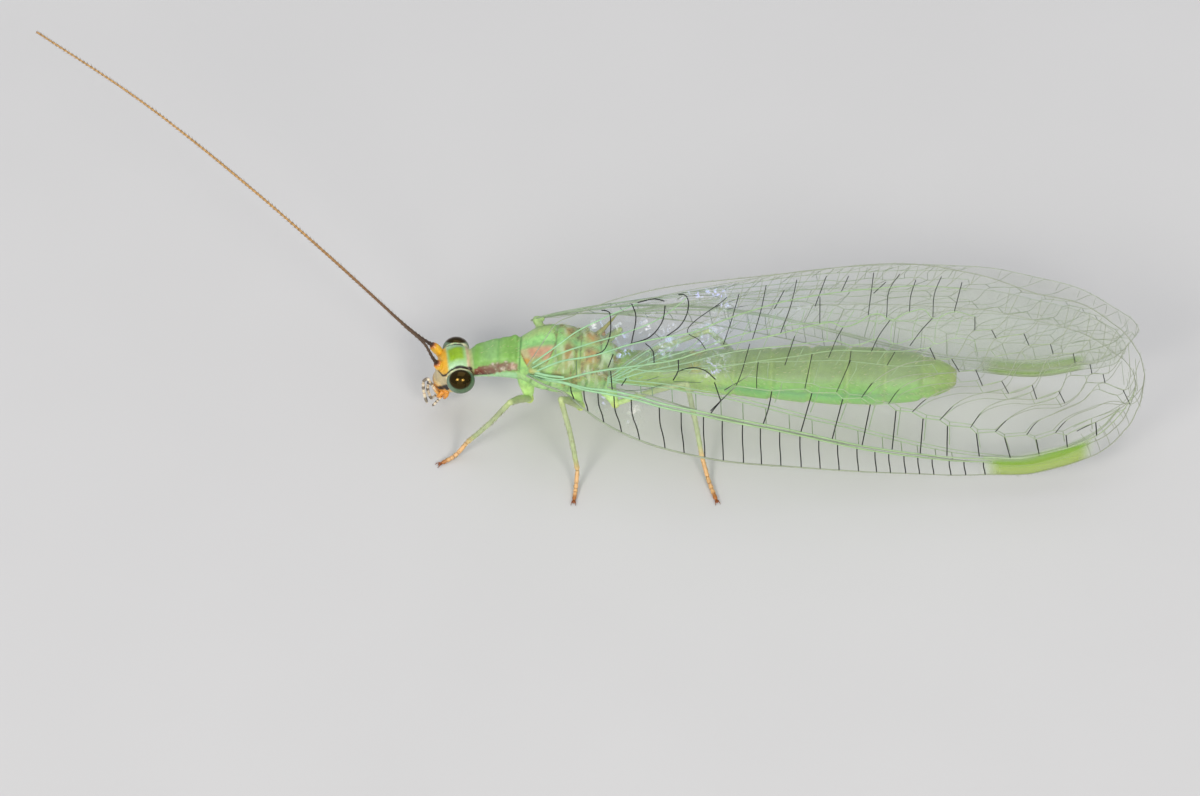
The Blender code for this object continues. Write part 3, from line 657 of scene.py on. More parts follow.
class Bench:
    BODY = "root"

    def __init__(self) -> None:
        low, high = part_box("abdomen")
        self.shift = np.array((low.x / MM - ABDOMEN_FRONT, (low.y + high.y) / 2 / MM, 0.0))
        self.materials: dict[str, bpy.types.Material] = {}
        self.faces = 0

    def material(self, finish: Any) -> bpy.types.Material:
        """The finish's material, made once."""
        if finish.name not in self.materials:
            self.materials[finish.name] = finish.material()
        return self.materials[finish.name]

    def piece(self, name: str, mesh: bpy.types.Mesh, finish: Any,
              nodes: Sequence[str] = ()) -> bpy.types.Object:
        """Makes a mesh drawn in millimetres a piece of the model.

        Args:
            name: the piece's name.
            mesh: its mesh, in the insect's frame.
            finish: its finish.
            nodes: the solids that it stands for.

        Returns:
            The piece.
        """
        move_to(mesh, (places_of(mesh) + self.shift) * MM)
        mesh.name = name
        mesh.materials.clear()
        mesh.materials.append(self.material(finish))
        mesh.shade_smooth()
        obj = on_table(name, mesh)
        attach(obj, self.BODY)
        if nodes:
            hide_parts(*nodes)
        triangles = sum(len(polygon.vertices) - 2 for polygon in mesh.polygons)
        self.faces += triangles
        LOG.info("%s: %d triangles", name, triangles)
        return obj


# Repeating things, by Geometry Nodes


class Grower:
    """Geometry Nodes trees for what repeats: bristles and segments set on points, and veins along lines."""

    def __init__(self) -> None:
        self.sown = self.sowing_tree()
        self.drawn = self.drawing_tree()

    @staticmethod
    def new_tree(name: str, sockets: Sequence[tuple[str, str, Any]]) -> tuple[Any, Any, dict[str, str]]:
        """A tree with a geometry input and output and more named inputs.

        Returns:
            The tree, its input node and the identifiers of its named inputs.
        """
        tree = bpy.data.node_groups.new(name, "GeometryNodeTree")
        tree.interface.new_socket("Geometry", in_out="INPUT", socket_type="NodeSocketGeometry")
        names = {}
        for label, kind, value in sockets:
            socket = tree.interface.new_socket(label, in_out="INPUT", socket_type=kind)
            if value is not None:
                socket.default_value = value
            names[label] = socket.identifier
        tree.interface.new_socket("Geometry", in_out="OUTPUT", socket_type="NodeSocketGeometry")
        return tree, add_node(tree, "NodeGroupInput"), names

    def sowing_tree(self) -> tuple[Any, dict[str, str]]:
        """Sets a template on every point, along the point's own direction and at its own size."""
        tree, given, names = self.new_tree("sow_on_points", [
            ("Template", "NodeSocketObject", None), ("Thickness", "NodeSocketFloat", 1.0),
            ("Spread", "NodeSocketFloat", 0.0), ("Seed", "NodeSocketInt", 7), ("Material", "NodeSocketMaterial", None)])
        along = add_node(tree, "GeometryNodeInputNamedAttribute", {"data_type": "FLOAT_VECTOR"}, {"Name": "along"})
        size = add_node(tree, "GeometryNodeInputNamedAttribute", {"data_type": "FLOAT_VECTOR"}, {"Name": "size"})
        turn = add_node(tree, "FunctionNodeAlignRotationToVector", {"axis": "Z"}, {
            "Vector": along.outputs["Attribute"]})
        lowest = add_node(tree, "ShaderNodeMath", {"operation": "SUBTRACT"}, {
            0: 1.0, 1: given.outputs["Spread"]})
        highest = add_node(tree, "ShaderNodeMath", {"operation": "ADD"}, {0: 1.0, 1: given.outputs["Spread"]})
        chance = add_node(tree, "FunctionNodeRandomValue", {"data_type": "FLOAT"}, {
            2: lowest.outputs[0], 3: highest.outputs[0], "Seed": given.outputs["Seed"]})
        shape = add_node(tree, "ShaderNodeCombineXYZ", inputs={
            0: given.outputs["Thickness"], 1: given.outputs["Thickness"], 2: chance.outputs[1]})
        scale = add_node(tree, "ShaderNodeVectorMath", {"operation": "MULTIPLY"}, {
            0: size.outputs["Attribute"], 1: shape.outputs[0]})
        template = add_node(tree, "GeometryNodeObjectInfo", inputs={"Object": given.outputs["Template"]})
        sown = add_node(tree, "GeometryNodeInstanceOnPoints", inputs={
            "Points": given.outputs["Geometry"], "Instance": template.outputs["Geometry"],
            "Rotation": turn.outputs["Rotation"], "Scale": scale.outputs[0]})
        real = add_node(tree, "GeometryNodeRealizeInstances", inputs={0: sown.outputs[0]})
        dressed = add_node(tree, "GeometryNodeSetMaterial", inputs={
            "Geometry": real.outputs[0], "Material": given.outputs["Material"]})
        add_node(tree, "NodeGroupOutput", inputs={0: dressed.outputs[0]})
        return tree, names

    def drawing_tree(self) -> tuple[Any, dict[str, str]]:
        """Draws every line of a wire mesh as a tube, with the radius stored at each of its points."""
        tree, given, names = self.new_tree("draw_veins", [
            ("Sides", "NodeSocketInt", 6), ("Width", "NodeSocketFloat", 1.0),
            ("Material", "NodeSocketMaterial", None)])
        line = add_node(tree, "GeometryNodeMeshToCurve", inputs={"Mesh": given.outputs["Geometry"]})
        radius = add_node(tree, "GeometryNodeInputNamedAttribute", {"data_type": "FLOAT"}, {"Name": "radius"})
        wide = add_node(tree, "ShaderNodeMath", {"operation": "MULTIPLY"}, {
            0: radius.outputs["Attribute"], 1: given.outputs["Width"]})
        ring = add_node(tree, "GeometryNodeCurvePrimitiveCircle", inputs={
            "Resolution": given.outputs["Sides"], "Radius": 1.0})
        pipe = add_node(tree, "GeometryNodeCurveToMesh", inputs={
            "Curve": line.outputs[0], "Profile Curve": ring.outputs[0], "Scale": wide.outputs[0],
            "Fill Caps": True})
        real = add_node(tree, "GeometryNodeRealizeInstances", inputs={0: pipe.outputs[0]})
        dressed = add_node(tree, "GeometryNodeSetMaterial", inputs={
            "Geometry": real.outputs[0], "Material": given.outputs["Material"]})
        add_node(tree, "NodeGroupOutput", inputs={0: dressed.outputs[0]})
        return tree, names

    @staticmethod
    def run(mesh: bpy.types.Mesh, made: tuple[Any, dict[str, str]], values: dict[str, Any]) -> bpy.types.Mesh:
        """Runs a tree on a mesh and returns the result as a plain mesh."""
        tree, names = made
        obj = on_table("seedbed", mesh)
        modifier = obj.modifiers.new("grow", "NODES")
        modifier.node_group = tree
        for label, value in values.items():
            modifier[names[label]] = value
        return evaluated_copy(obj, "grown")

    def sow(self, roots: np.ndarray, along: np.ndarray, sizes: np.ndarray, template: bpy.types.Mesh,
            material: bpy.types.Material, spread: float = 0.0, seed: int = 7) -> bpy.types.Mesh:
        """Sets a template mesh on points.

        Args:
            roots: the points.
            along: the direction of the template's Z at each point.
            sizes: the template's scale across, across and along at each point.
            template: the mesh to repeat, which is used up.
            material: its material.
            spread: how much the lengths vary, as a share.
            seed: the seed of that chance.

        Returns:
            One plain mesh, the template's vertices repeated point by point.
        """
        bed = bpy.data.meshes.new("points")
        bed.from_pydata(roots.tolist(), [], [])
        store_vector(bed, "along", along)
        store_vector(bed, "size", sizes)
        sample = on_table("template", template)
        grown = self.run(bed, self.sown, {
            "Template": sample, "Thickness": 1.0, "Spread": spread, "Seed": seed, "Material": material})
        bpy.data.objects.remove(sample)
        bpy.data.meshes.remove(template)
        return grown

    def draw(self, lines: Sequence[np.ndarray], radii: Sequence[np.ndarray], dark: Sequence[np.ndarray],
             sides: int, material: bpy.types.Material) -> bpy.types.Mesh:
        """Draws lines as tubes.

        Args:
            lines: the points of each line.
            radii: the radius at each point.
            dark: how dark each point is, from 0 to 1.
            sides: sides of the tubes.
            material: their material.

        Returns:
            One plain mesh, with the darkness as an attribute.
        """
        wire = bpy.data.meshes.new("lines")
        edges, base = [], 0
        for line in lines:
            edges += [(base + i, base + i + 1) for i in range(len(line) - 1)]
            base += len(line)
        wire.from_pydata(np.concatenate(lines).tolist(), edges, [])
        store_number(wire, "radius", np.concatenate(radii))
        store_number(wire, "dark", np.concatenate(dark))
        return self.run(wire, self.drawn, {"Sides": sides, "Width": 1.0, "Material": material})


def bristle_template() -> bpy.types.Mesh:
    """A slightly bowed four-sided hair of length 1 and radius 1 at its root, pointing along Z."""
    heights = np.array((0.0, 0.45, 0.8, 1.0))
    widths = np.array((1.0, 0.8, 0.45, 0.12))
    bow = 2.0 * heights**2
    turns = np.arange(4) * math.pi / 2
    rings = [np.stack([b + w * np.cos(turns), w * np.sin(turns), np.full(4, h)], axis=1)
             for h, w, b in zip(heights, widths, bow)]
    return loft("bristle", np.array(rings))


def add_coat_map(mesh: bpy.types.Mesh, per_hair: int, unwrapped: np.ndarray) -> None:
    """Gives hairs their UV map, each one a small patch at its root's place on the skin's unwrap.

    Args:
        mesh: hairs of per_hair vertices each, in the order of their roots.
        per_hair: vertices in one hair.
        unwrapped: each root's place on the unwrap, from 0 to 1.
    """
    patch = 0.003
    layer = mesh.uv_layers.new(name="OFBake")
    loops = np.zeros(len(mesh.loops), int)
    mesh.loops.foreach_get("vertex_index", loops)
    hair, corner = loops // per_hair, loops % per_hair
    sides = 4
    inside = np.stack([(corner % sides) / sides, np.minimum(corner // sides, 4) / 4.0], axis=1)
    spots = np.clip(unwrapped[hair], 0.0, 1.0 - patch) + patch * inside
    layer.data.foreach_set("uv", spots.astype(np.float32).ravel())


@dataclass
class Bristles:
    """Hairs gathered for one piece."""

    roots: list[np.ndarray] = field(default_factory=list)
    along: list[np.ndarray] = field(default_factory=list)
    sizes: list[np.ndarray] = field(default_factory=list)
    spots: list[np.ndarray] = field(default_factory=list)

    def add(self, roots: np.ndarray, along: np.ndarray, length: float, radius: float,
            spots: np.ndarray) -> None:
        """Adds hairs of one length and radius, with their places on the unwrap."""
        self.roots.append(roots)
        self.along.append(unit(along))
        self.sizes.append(np.tile((radius, radius, length), (len(roots), 1)))
        self.spots.append(spots)

    def grow(self, bench: Bench, grower: Grower, name: str, slot: str, root_tint: str, tip_tint: str) -> None:
        """Turns the gathered hairs to one piece."""
        roots, spots = np.concatenate(self.roots), np.concatenate(self.spots)
        template = bristle_template()
        per_hair = len(template.vertices)
        mesh = grower.sow(roots, np.concatenate(self.along), np.concatenate(self.sizes), template,
                          bench.material(HAIR), spread=0.3)
        add_coat_map(mesh, per_hair, spots)
        share = np.minimum((np.arange(len(mesh.vertices)) % per_hair) // 4, 3) / 3.0
        paint = Paint(len(mesh.vertices), root_tint)
        paint.wash(tip_tint, share)
        paint.dry(mesh)
        bench.piece(name, mesh, HAIR)


# The insect's parts


@dataclass
class BodySkin:
    """One skin over head, neck, thorax, abdomen and the six hips."""

    voxel: float = 0.027
    trunk_start: float = -1.52
    around: int = 112
    spacing: float = 0.03
    nodes: tuple[str, ...] = ("head", "prothorax", "mesothorax", "metathorax", "abdomen", "abdomen_tip")

    def frame_of(self, points: np.ndarray) -> tuple[np.ndarray, np.ndarray, np.ndarray]:
        """Each point's place along the trunk, height round it in degrees, and how far out it is.

        Returns:
            x, the angle from -90 below over 0 at the side to 90 on top, and the distance from the axis
            against the trunk's size there.
        """
        x, y, z = points.T
        up = z - smooth(x, TRUNK_AXIS)
        tall = np.where(up > 0, smooth(x, TRUNK_RISE), smooth(x, TRUNK_DROP))
        wide = smooth(x, TRUNK_WIDTH)
        angle = np.degrees(np.arctan2(up / tall, np.abs(y) / wide))
        return x, angle, np.hypot(up / tall, y / wide)

    def relief(self, x: np.ndarray, angle: np.ndarray) -> np.ndarray:
        """How far the cuticle stands proud of the trunk's plain form, in millimetres."""
        top = ramp(angle, 20, 50)
        flank = hump(angle, 5, 30)
        out = np.zeros(np.broadcast(x, angle).shape)
        pronotum = band(x, -1.3, -0.32, 0.04)
        out += 0.018 * pronotum * ramp(angle, 42, 52)
        out -= 0.03 * pronotum * hump(angle, 28, 12)
        for fold, depth, width in ((-1.3, 0.03, 0.035), (-1.06, 0.012, 0.03), (-0.74, 0.026, 0.035),
                                   (-0.5, 0.01, 0.03), (-0.29, 0.045, 0.05)):
            out -= depth * hump(x, fold, width) * ramp(angle, -60, 30)
        out += 0.045 * hump(x, -0.4, 0.09) * hump(angle, 62, 14)
        out += 0.05 * hump(x, 0.18, 0.2) * hump(angle, 62, 22)
        out -= 0.045 * band(x, -0.15, 0.55, 0.08) * hump(angle, 90, 9)
        out -= 0.05 * hump(x, 0.52, 0.05) * top
        out += 0.05 * hump(x, 0.76, 0.15) * hump(angle, 90, 34)
        out -= 0.06 * hump(x, 1.0, 0.05) * top
        out += 0.035 * hump(x, 1.26, 0.13) * hump(angle, 60, 24)
        out -= 0.03 * band(x, 1.05, 1.5, 0.06) * hump(angle, 90, 9)
        out -= 0.035 * hump(x, 1.5, 0.045) * top
        out += 0.03 * hump(x, 1.68, 0.1) * hump(angle, 90, 30)
        for seam in (0.02, 0.42, 0.86, 1.2, 1.62):
            lean = seam + 0.16 * angle / 60.0
            out -= 0.045 * hump(x, lean, 0.03) * hump(angle, -5, 42)
        out -= 0.025 * band(x, -0.2, 1.8, 0.08) * hump(angle, -38, 5)
        out += 0.03 * band(x, -0.1, 1.6, 0.1) * flank
        start, end = ABDOMEN_FRONT, ABDOMEN_BACK
        step_length = (end - start) / ABDOMEN_SEGMENTS
        share = ((x - start) / step_length) % 1.0
        belly = band(x, start + 0.05, end + 0.4, 0.05)
        size = smooth(x, TRUNK_WIDTH)
        fold_in = hump(share, 0.0, 0.07) + hump(share, 1.0, 0.07)
        out += belly * size * (0.035 * ramp(share, 0.1, 0.9) - 0.07 * fold_in)
        out -= belly * size * 0.085 * hump(angle, -2, 9)
        out += belly * size * 0.03 * hump(angle, -22, 10)
        out -= 0.05 * hump(x, ABDOMEN_FRONT, 0.07)
        return out

    def trunk(self) -> bpy.types.Mesh:
        """Neck, thorax and abdomen, with their plates, folds and seams."""
        places = np.arange(self.trunk_start, TRUNK_TIP, self.spacing)
        turns = np.arange(self.around) * 2 * math.pi / self.around
        rings = []
        for x in places:
            square = 2.0 + 0.7 * float(band(x, -1.3, -0.3, 0.1))
            c, s = np.cos(turns), np.sin(turns)
            y = np.sign(c) * np.abs(c) ** (2 / square)
            z = np.sign(s) * np.abs(s) ** (2 / square)
            tall = np.where(s > 0, smooth(x, TRUNK_RISE), smooth(x, TRUNK_DROP))
            wide = float(smooth(x, TRUNK_WIDTH))
            neck = 1.0 - 0.22 * float(1.0 - ramp(x, -1.42, -1.3))
            angle = np.degrees(np.arctan2(s, np.abs(c)))
            plain = np.stack([y * wide, z * tall], axis=1) * neck
            outward = unit(np.stack([c / wide, s / tall], axis=1))
            shaped = plain + outward * self.relief(np.full(len(turns), x), angle)[:, None]
            rings.append(np.stack([np.full(len(turns), x), shaped[:, 0],
                                   smooth(x, TRUNK_AXIS) + shaped[:, 1]], axis=1))
        return loft("trunk", np.array(rings))

    @staticmethod
    def shell_left(forward: np.ndarray, up: np.ndarray) -> np.ndarray:
        """The head shell's half width at a place on its side."""
        front, back = smooth(up, HEAD_FRONT), smooth(up, HEAD_BACK)
        across = np.clip(1.0 - ((forward - (front + back) / 2) / ((front - back) / 2)) ** 2, 0.0, 1.0)
        return smooth(up, HEAD_WIDTH) * np.sqrt(across)

    def head_shell(self) -> bpy.types.Mesh:
        """The head capsule: domed crown, flat face, drawn in to the mouth."""
        heights = np.linspace(HEAD_WIDTH[0][0], HEAD_WIDTH[-1][0] + 0.01, 44)
        turns = np.arange(72) * 2 * math.pi / 72
        rings = []
        for up in heights:
            front, back = float(smooth(up, HEAD_FRONT)), float(smooth(up, HEAD_BACK))
            width = float(smooth(up, HEAD_WIDTH))
            forward = (front + back) / 2 + (front - back) / 2 * np.cos(turns)
            left = width * np.sin(turns)
            face = ramp(np.cos(turns), 0.2, 0.8)
            forward = forward - face * (0.03 * hump(up, -0.27, 0.03) + 0.02 * hump(up, -0.5, 0.025))
            forward = forward + face * 0.02 * hump(up, -0.38, 0.06)
            rings.append(Head.out(np.stack([forward, left, np.full(len(turns), up)], axis=1)))
        return loft("shell", np.array(rings))

    def eye_rim(self, side: Side) -> np.ndarray:
        """The line where one eye meets the head, in the head's frame."""
        rim = []
        place, radii = EYE_PLACE[side.word], EYE_RADII[side.word]
        for turn in np.linspace(0, 2 * math.pi, 60):
            low, high = 0.05, radii[0]
            for _ in range(20):
                reach = (low + high) / 2
                forward = place[0] + reach * math.cos(turn)
                up = place[2] + reach * math.sin(turn)
                inner = abs(place[1]) - radii[1] * math.sqrt(max(0.0, 1 - (reach / radii[0]) ** 2))
                if float(self.shell_left(np.array(forward), np.array(up))) > inner:
                    low = reach
                else:
                    high = reach
            rim.append((forward, side.head_left * (inner + 0.01), up))
        return np.array(rim)

    def head_details(self) -> list[bpy.types.Mesh]:
        """Eye rims, feeler sockets, the crown's dome, and the cheeks."""
        made = []
        for side in Side:
            rim = Head.out(self.eye_rim(side))
            made.append(tube("rim", rim, np.full(len(rim), 0.034), 10))
            socket, tip = np.array(SOCKET[side.word]), np.array(SCAPE_TIP[side.word])
            along = unit(tip - socket)
            collar = np.array([socket - along * 0.1, socket - along * 0.02, socket + along * 0.03])
            made.append(tube("collar", collar, np.array((0.12, 0.115, 0.1)), 20))
            cheek = Head.out(np.array((0.14, side.head_left * 0.25, -0.36)))
            axes = np.diag((0.17, 0.1, 0.2)) @ Head.TURN.T
            made.append(ellipsoid("cheek", cheek, axes, 14, 20))
        crown = Head.out(np.array((-0.06, 0.0, 0.26)))
        made.append(ellipsoid("crown", crown, np.diag((0.27, 0.3, 0.2)) @ Head.TURN.T, 18, 28))
        nape = np.array([Head.out((-0.16, 0.0, 0.02)), (-1.36, 0.0, 1.52)])
        made.append(tube("nape", smooth_path(nape, 6), np.full(6, 0.2), 24))
        return made

    def hips(self) -> list[bpy.types.Mesh]:
        """The coxae: stout cones from the thorax down to each trochanter."""
        made = []
        for joints in LEGS.values():
            hip, trochanter = np.array(joints[0]), np.array(joints[1])
            path = smooth_path([hip, hip + (trochanter - hip) * 0.5 + (0, 0, 0.02), trochanter], 14)
            share = np.linspace(0, 1, 14)
            radii = 0.2 - 0.1 * share + 0.02 * hump(share, 0.35, 0.2) - 0.02 * hump(share, 0.86, 0.05)
            made.append(tube("hip", path, radii, 24))
            made.append(ellipsoid("trochanter", trochanter, np.eye(3) * 0.105, 12, 18))
        return made

    def wing_hinges(self) -> list[bpy.types.Mesh]:
        """The small plates and stalks that carry the wings at the thorax's upper edge."""
        made = []
        for side in Side:
            y = side.across
            fore = [(0.2, y * 0.45, 2.05), (0.14, y * 0.6, 2.16), (0.1, y * 0.72, 2.2)]
            made.append(tube("fore_hinge", smooth_path(fore, 8), np.linspace(0.11, 0.045, 8), 16))
            root = Roof.at(0.02, 1.0, side, 0.0)
            path = smooth_path([(0.14, y * 0.6, 2.12), root, root + (0.2, y * 0.02, 0.0)], 9)
            made.append(tube("fore_plate", path, np.linspace(0.09, 0.05, 9), 12))
            root = Roof.at(1.78, 1.6, side, 0.22)
            path = smooth_path([(1.3, y * 0.42, 2.02), (1.5, y * 0.62, 2.1), root], 12)
            made.append(tube("hind_hinge", path, np.linspace(0.075, 0.02, 12), 14))
        return made

    def build(self, bench: Bench) -> None:
        """Fuses, paints and hands over the skin."""
        parts = [self.trunk(), self.head_shell(), *self.head_details(), *self.hips(), *self.wing_hinges()]
        mesh = fused("body_skin", parts, self.voxel, 3)
        self.pit_the_surface(mesh)
        self.paint(mesh)
        hips = tuple("coxa_" + place for place in LEGS)
        bench.piece("body_skin", mesh, BODY_CUTICLE, self.nodes + hips)

    def pit_the_surface(self, mesh: bpy.types.Mesh) -> None:
        """Draws the crown's and face's fine seams in the skin."""
        places, normals = places_of(mesh), normals_of(mesh)
        forward, left, up = Head.into(places).T
        on_head = self.head_share(places)
        seam = hump(left, 0.0, 0.012) * ramp(up, 0.2, 0.3) * (1 - ramp(forward, 0.0, 0.12))
        arch = hump(np.hypot(forward - 0.28, left * 0.8) - 0.2, 0.0, 0.02) * ramp(up, 0.02, 0.12)
        side_seam = hump(np.abs(left) - 0.2 - 0.1 * (up + 0.6), 0.0, 0.014) * band(up, -0.6, -0.3, 0.03)
        depth = 0.012 * seam + 0.012 * arch + 0.012 * side_seam * ramp(forward, 0.1, 0.2)
        move_to(mesh, places - normals * (depth * on_head)[:, None])

    @staticmethod
    def head_share(places: np.ndarray) -> np.ndarray:
        """1 on the head, 0 behind the neck."""
        forward = Head.into(places)[:, 0]
        return ramp(forward, -0.34, -0.27)

    def paint(self, mesh: bpy.types.Mesh) -> None:
        """Lays on the body's markings: greens, the brown side stripe, orange back plates and the face, with painted
        highlights flecked on the thorax's back.
        """
        places = places_of(mesh)
        x, angle, _ = self.frame_of(places)
        paint = Paint(len(places), "#79BE5C")
        self.paint_abdomen(paint, x, angle)
        self.paint_thorax(paint, places, x, angle)
        self.paint_pronotum(paint, places, x, angle)
        self.paint_hips(paint, places)
        self.paint_head(paint, places)
        paint.dry(mesh)

    @staticmethod
    def paint_abdomen(paint: Paint, x: np.ndarray, angle: np.ndarray) -> None:
        """Bright green sides, an olive back, yellow-green belly and amber tip."""
        here = ramp(x, 1.75, 2.2)
        paint.wash("#7FBC50", here)
        paint.wash("#B4C660", here * (1 - ramp(x, 3.8, 5.0)) * 0.5)
        paint.wash("#62B462", here * hump(angle, 2, 14) * band(x, 4.0, 7.6, 0.6) * 0.75)
        paint.wash("#78904E", here * ramp(angle, 20, 58) * 0.85)
        paint.wash("#7E9A54", here * ramp(angle, 66, 88) * band(x, 3.6, 8.0, 0.5) * 0.6)
        paint.wash("#96C452", here * (1 - ramp(angle, -40, -14)) * 0.85)
        paint.wash("#B9A24A", hump(x, 3.55, 0.12) * hump(angle, 62, 12) * 0.8)
        step_length = (ABDOMEN_BACK - ABDOMEN_FRONT) / ABDOMEN_SEGMENTS
        share = ((x - ABDOMEN_FRONT) / step_length) % 1.0
        rings = hump(share, 0.0, 0.06) + hump(share, 1.0, 0.06)
        paint.wash("#A3C25E", here * rings * band(x, 2.0, 8.7, 0.1) * 0.3)
        paint.wash("#85A838", ramp(x, 8.3, 8.9) * 0.8)
        paint.wash("#93A046", ramp(x, 9.0, 9.22) * 0.7)

    @staticmethod
    def paint_thorax(paint: Paint, places: np.ndarray, x: np.ndarray, angle: np.ndarray) -> None:
        """Pale blue-green flanks, back plates of orange and pink between green seams, and whitish painted highlights
        flecked on the back.
        """
        here = band(x, -0.3, 1.85, 0.08)
        grain = speckle(places, 0.07)
        paint.wash("#A8D880", here * 0.9)
        paint.wash("#BCE69C", here * hump(angle, -15, 24) * 0.8)
        paint.wash("#C8E08C", here * (1 - ramp(angle, -60, -35)) * 0.7)
        paint.wash("#98D486", here * ramp(angle, 60, 88) * 0.7)
        paint.wash("#7FBE74", here * ramp(grain, 0.55, 0.75) * 0.45)
        start = smooth(angle, ((24, 0.05), (35, -0.07), (58, -0.2), (88, -0.33)))
        end = smooth(angle, ((24, 0.16), (42, 0.31), (59, 0.42), (78, 0.5)))
        lobe = here * ramp(x, start - 0.015, start + 0.03) * (1 - ramp(x, end - 0.05, end + 0.03))
        near = np.where(places[:, 1] < 0, 1.0, 0.12)
        pink = lobe * band(angle, 40, 76, 6)
        paint.wash("#BFB88A", pink * near)
        paint.wash("#D29A80", pink * near * ramp(x, start + 0.12, start + 0.24) * (0.75 + 0.25 * grain))
        paint.wash("#C8963C", lobe * near * band(angle, 30, 52, 5) * (0.6 + 0.4 * grain))
        paint.wash("#EBCB94", lobe * near * hump(angle, 50, 4) * hump(x, 0.12, 0.1) * 0.7)
        edge = hump(x, start, 0.02) * band(angle, 30, 66, 6) + hump(x, end, 0.016) * band(angle, 30, 84, 6)
        paint.wash("#8A5226", here * edge * (0.25 + 0.6 * near))
        paint.wash("#3F6B35", here * hump(x, -0.26, 0.022) * ramp(angle, -10, 25) * 0.8)
        paint.wash("#8E9C5C", here * band(x, 0.5, 1.9, 0.1) * band(angle, 12, 62, 10) * 0.75)
        for middle, width, height, spread, colour in (
                (0.8, 0.1, 68, 17, "#BE8E58"), (1.3, 0.17, 68, 18, "#C49254"), (1.84, 0.11, 72, 16, "#9A8A4C")):
            patch = hump(x, middle, width) * hump(angle, height, spread)
            paint.wash(colour, np.minimum(1.0, 1.25 * patch) * (0.7 + 0.3 * grain))
        for seam in (0.52, 1.06, 1.5):
            paint.wash("#4E3C22", hump(x, seam, 0.018) * ramp(angle, 44, 64) * 0.6)
        for seam in (0.02, 0.42, 0.86, 1.2, 1.62):
            lean = seam + 0.16 * angle / 60.0
            paint.wash("#5E8A4C", here * hump(x, lean, 0.024) * hump(angle, -2, 40) * 0.7)
        back = here * ramp(x, 0.4, 0.6) * band(angle, 0, 80, 10)
        blotch_and_highlight = speckle(places * (1.6, 0.55, 0.55), 0.17)
        paint.wash("#A88A52", back * ramp(blotch_and_highlight, 0.54, 0.72) * 0.6)
        # Painted highlight: whitish flecks on the back of the thorax, standing for glints of light on its waxy skin
        paint.wash("#DDE8CC", back * (1 - ramp(blotch_and_highlight, 0.22, 0.36)) * 0.4)
        paint.wash("#5A5430", back * ramp(0.4 * grain + 0.6 * blotch_and_highlight, 0.66, 0.76) * 0.55)
        for side in Side:
            away = np.linalg.norm(places - np.array((-0.02, 0.52 * side.across, 1.98)), axis=1)
            paint.wash("#2E2A1C", 1 - ramp(away, 0.02, 0.045))
            for stalk, colour in (((0.14, 0.62, 2.16), "#A2C080"), ((1.62, 0.66, 2.1), "#9C9658")):
                away = np.linalg.norm(places * (1, side.across, 1) - np.array(stalk), axis=1)
                paint.wash(colour, 1 - ramp(away, 0.16, 0.3))

    @staticmethod
    def paint_pronotum(paint: Paint, places: np.ndarray, x: np.ndarray, angle: np.ndarray) -> None:
        """Banded greens on top, a brown to mauve stripe along each side, pale below."""
        here = 1 - ramp(x, -0.34, -0.26)
        grain = 0.6 * speckle(places, 0.11) + 0.4 * speckle(places, 0.04)
        paint.wash("#84B460", here)
        paint.wash("#7BAE50", here * ramp(angle, 34, 56) * (hump(x, -1.2, 0.07) + 0.7 * band(x, -0.62, -0.34, 0.05)))
        paint.wash("#88B676", here * hump(x, -0.9, 0.16) * ramp(angle, 40, 60) * 0.7)
        paint.wash("#A8D8A4", here * (1 - ramp(angle, -8, 10)))
        low = smooth(x, ((-1.5, -15), (-1.2, -14), (-0.8, -8), (-0.55, 6), (-0.36, 10)))
        high = smooth(x, ((-1.5, 18), (-1.25, 24), (-1.12, 30), (-0.96, 34), (-0.8, 39), (-0.55, 43), (-0.36, 38)))
        ragged = 14 * (grain - 0.5)
        stripe = ramp(angle + ragged, low - 4, low + 5) * (1 - ramp(angle + ragged, high - 7, high + 3))
        stripe = stripe * band(x, -1.6, -0.3, 0.04)
        paint.wash("#85785E", stripe)
        paint.wash("#7A4E44", stripe * ramp(grain, 0.52, 0.7) * 0.7)
        paint.wash("#E0D4CE", stripe * (1 - ramp(grain, 0.3, 0.42)) * ramp(x, -1.15, -0.9) * 0.5)
        front = 1 - ramp(x, -1.15, -0.88)
        paint.wash("#6E3222", stripe * front * (0.75 + 0.25 * ramp(grain, 0.35, 0.6)))
        paint.wash("#C58A74", stripe * hump(x, -1.2, 0.06) * hump(angle, 16, 8) * 0.3)
        paint.wash("#C4A08A", hump(x, -0.4, 0.08) * hump(angle, 26, 12) * 0.6)
        paint.wash("#3A2418", here * hump(angle, low + 1, 5) * band(x, -1.5, -0.86, 0.06) * 0.9)
        paint.wash("#5FA052", here * hump(x, -0.74, 0.022) * ramp(angle, 36, 54) * 0.45)
        paint.wash("#D7B694", band(x, -1.5, -1.36, 0.03) * ramp(angle, 20, 50))

    @staticmethod
    def paint_hips(paint: Paint, places: np.ndarray) -> None:
        """Pale green hips, yellower towards the trochanter."""
        for joints in LEGS.values():
            hip, trochanter = np.array(joints[0]), np.array(joints[1])
            along = trochanter - hip
            share = np.clip((places - hip) @ along / (along @ along), 0, 1.2)
            away = np.linalg.norm(places - (hip + share[:, None] * along), axis=1)
            near = (1 - ramp(away, 0.2, 0.28)) * ramp(share, 0.15, 0.5)
            below = 1 - ramp(places[:, 2], 1.25, 1.45)
            paint.wash("#C4EC94", near * below)
            paint.wash("#CBE084", near * below * ramp(share, 0.75, 1.0))

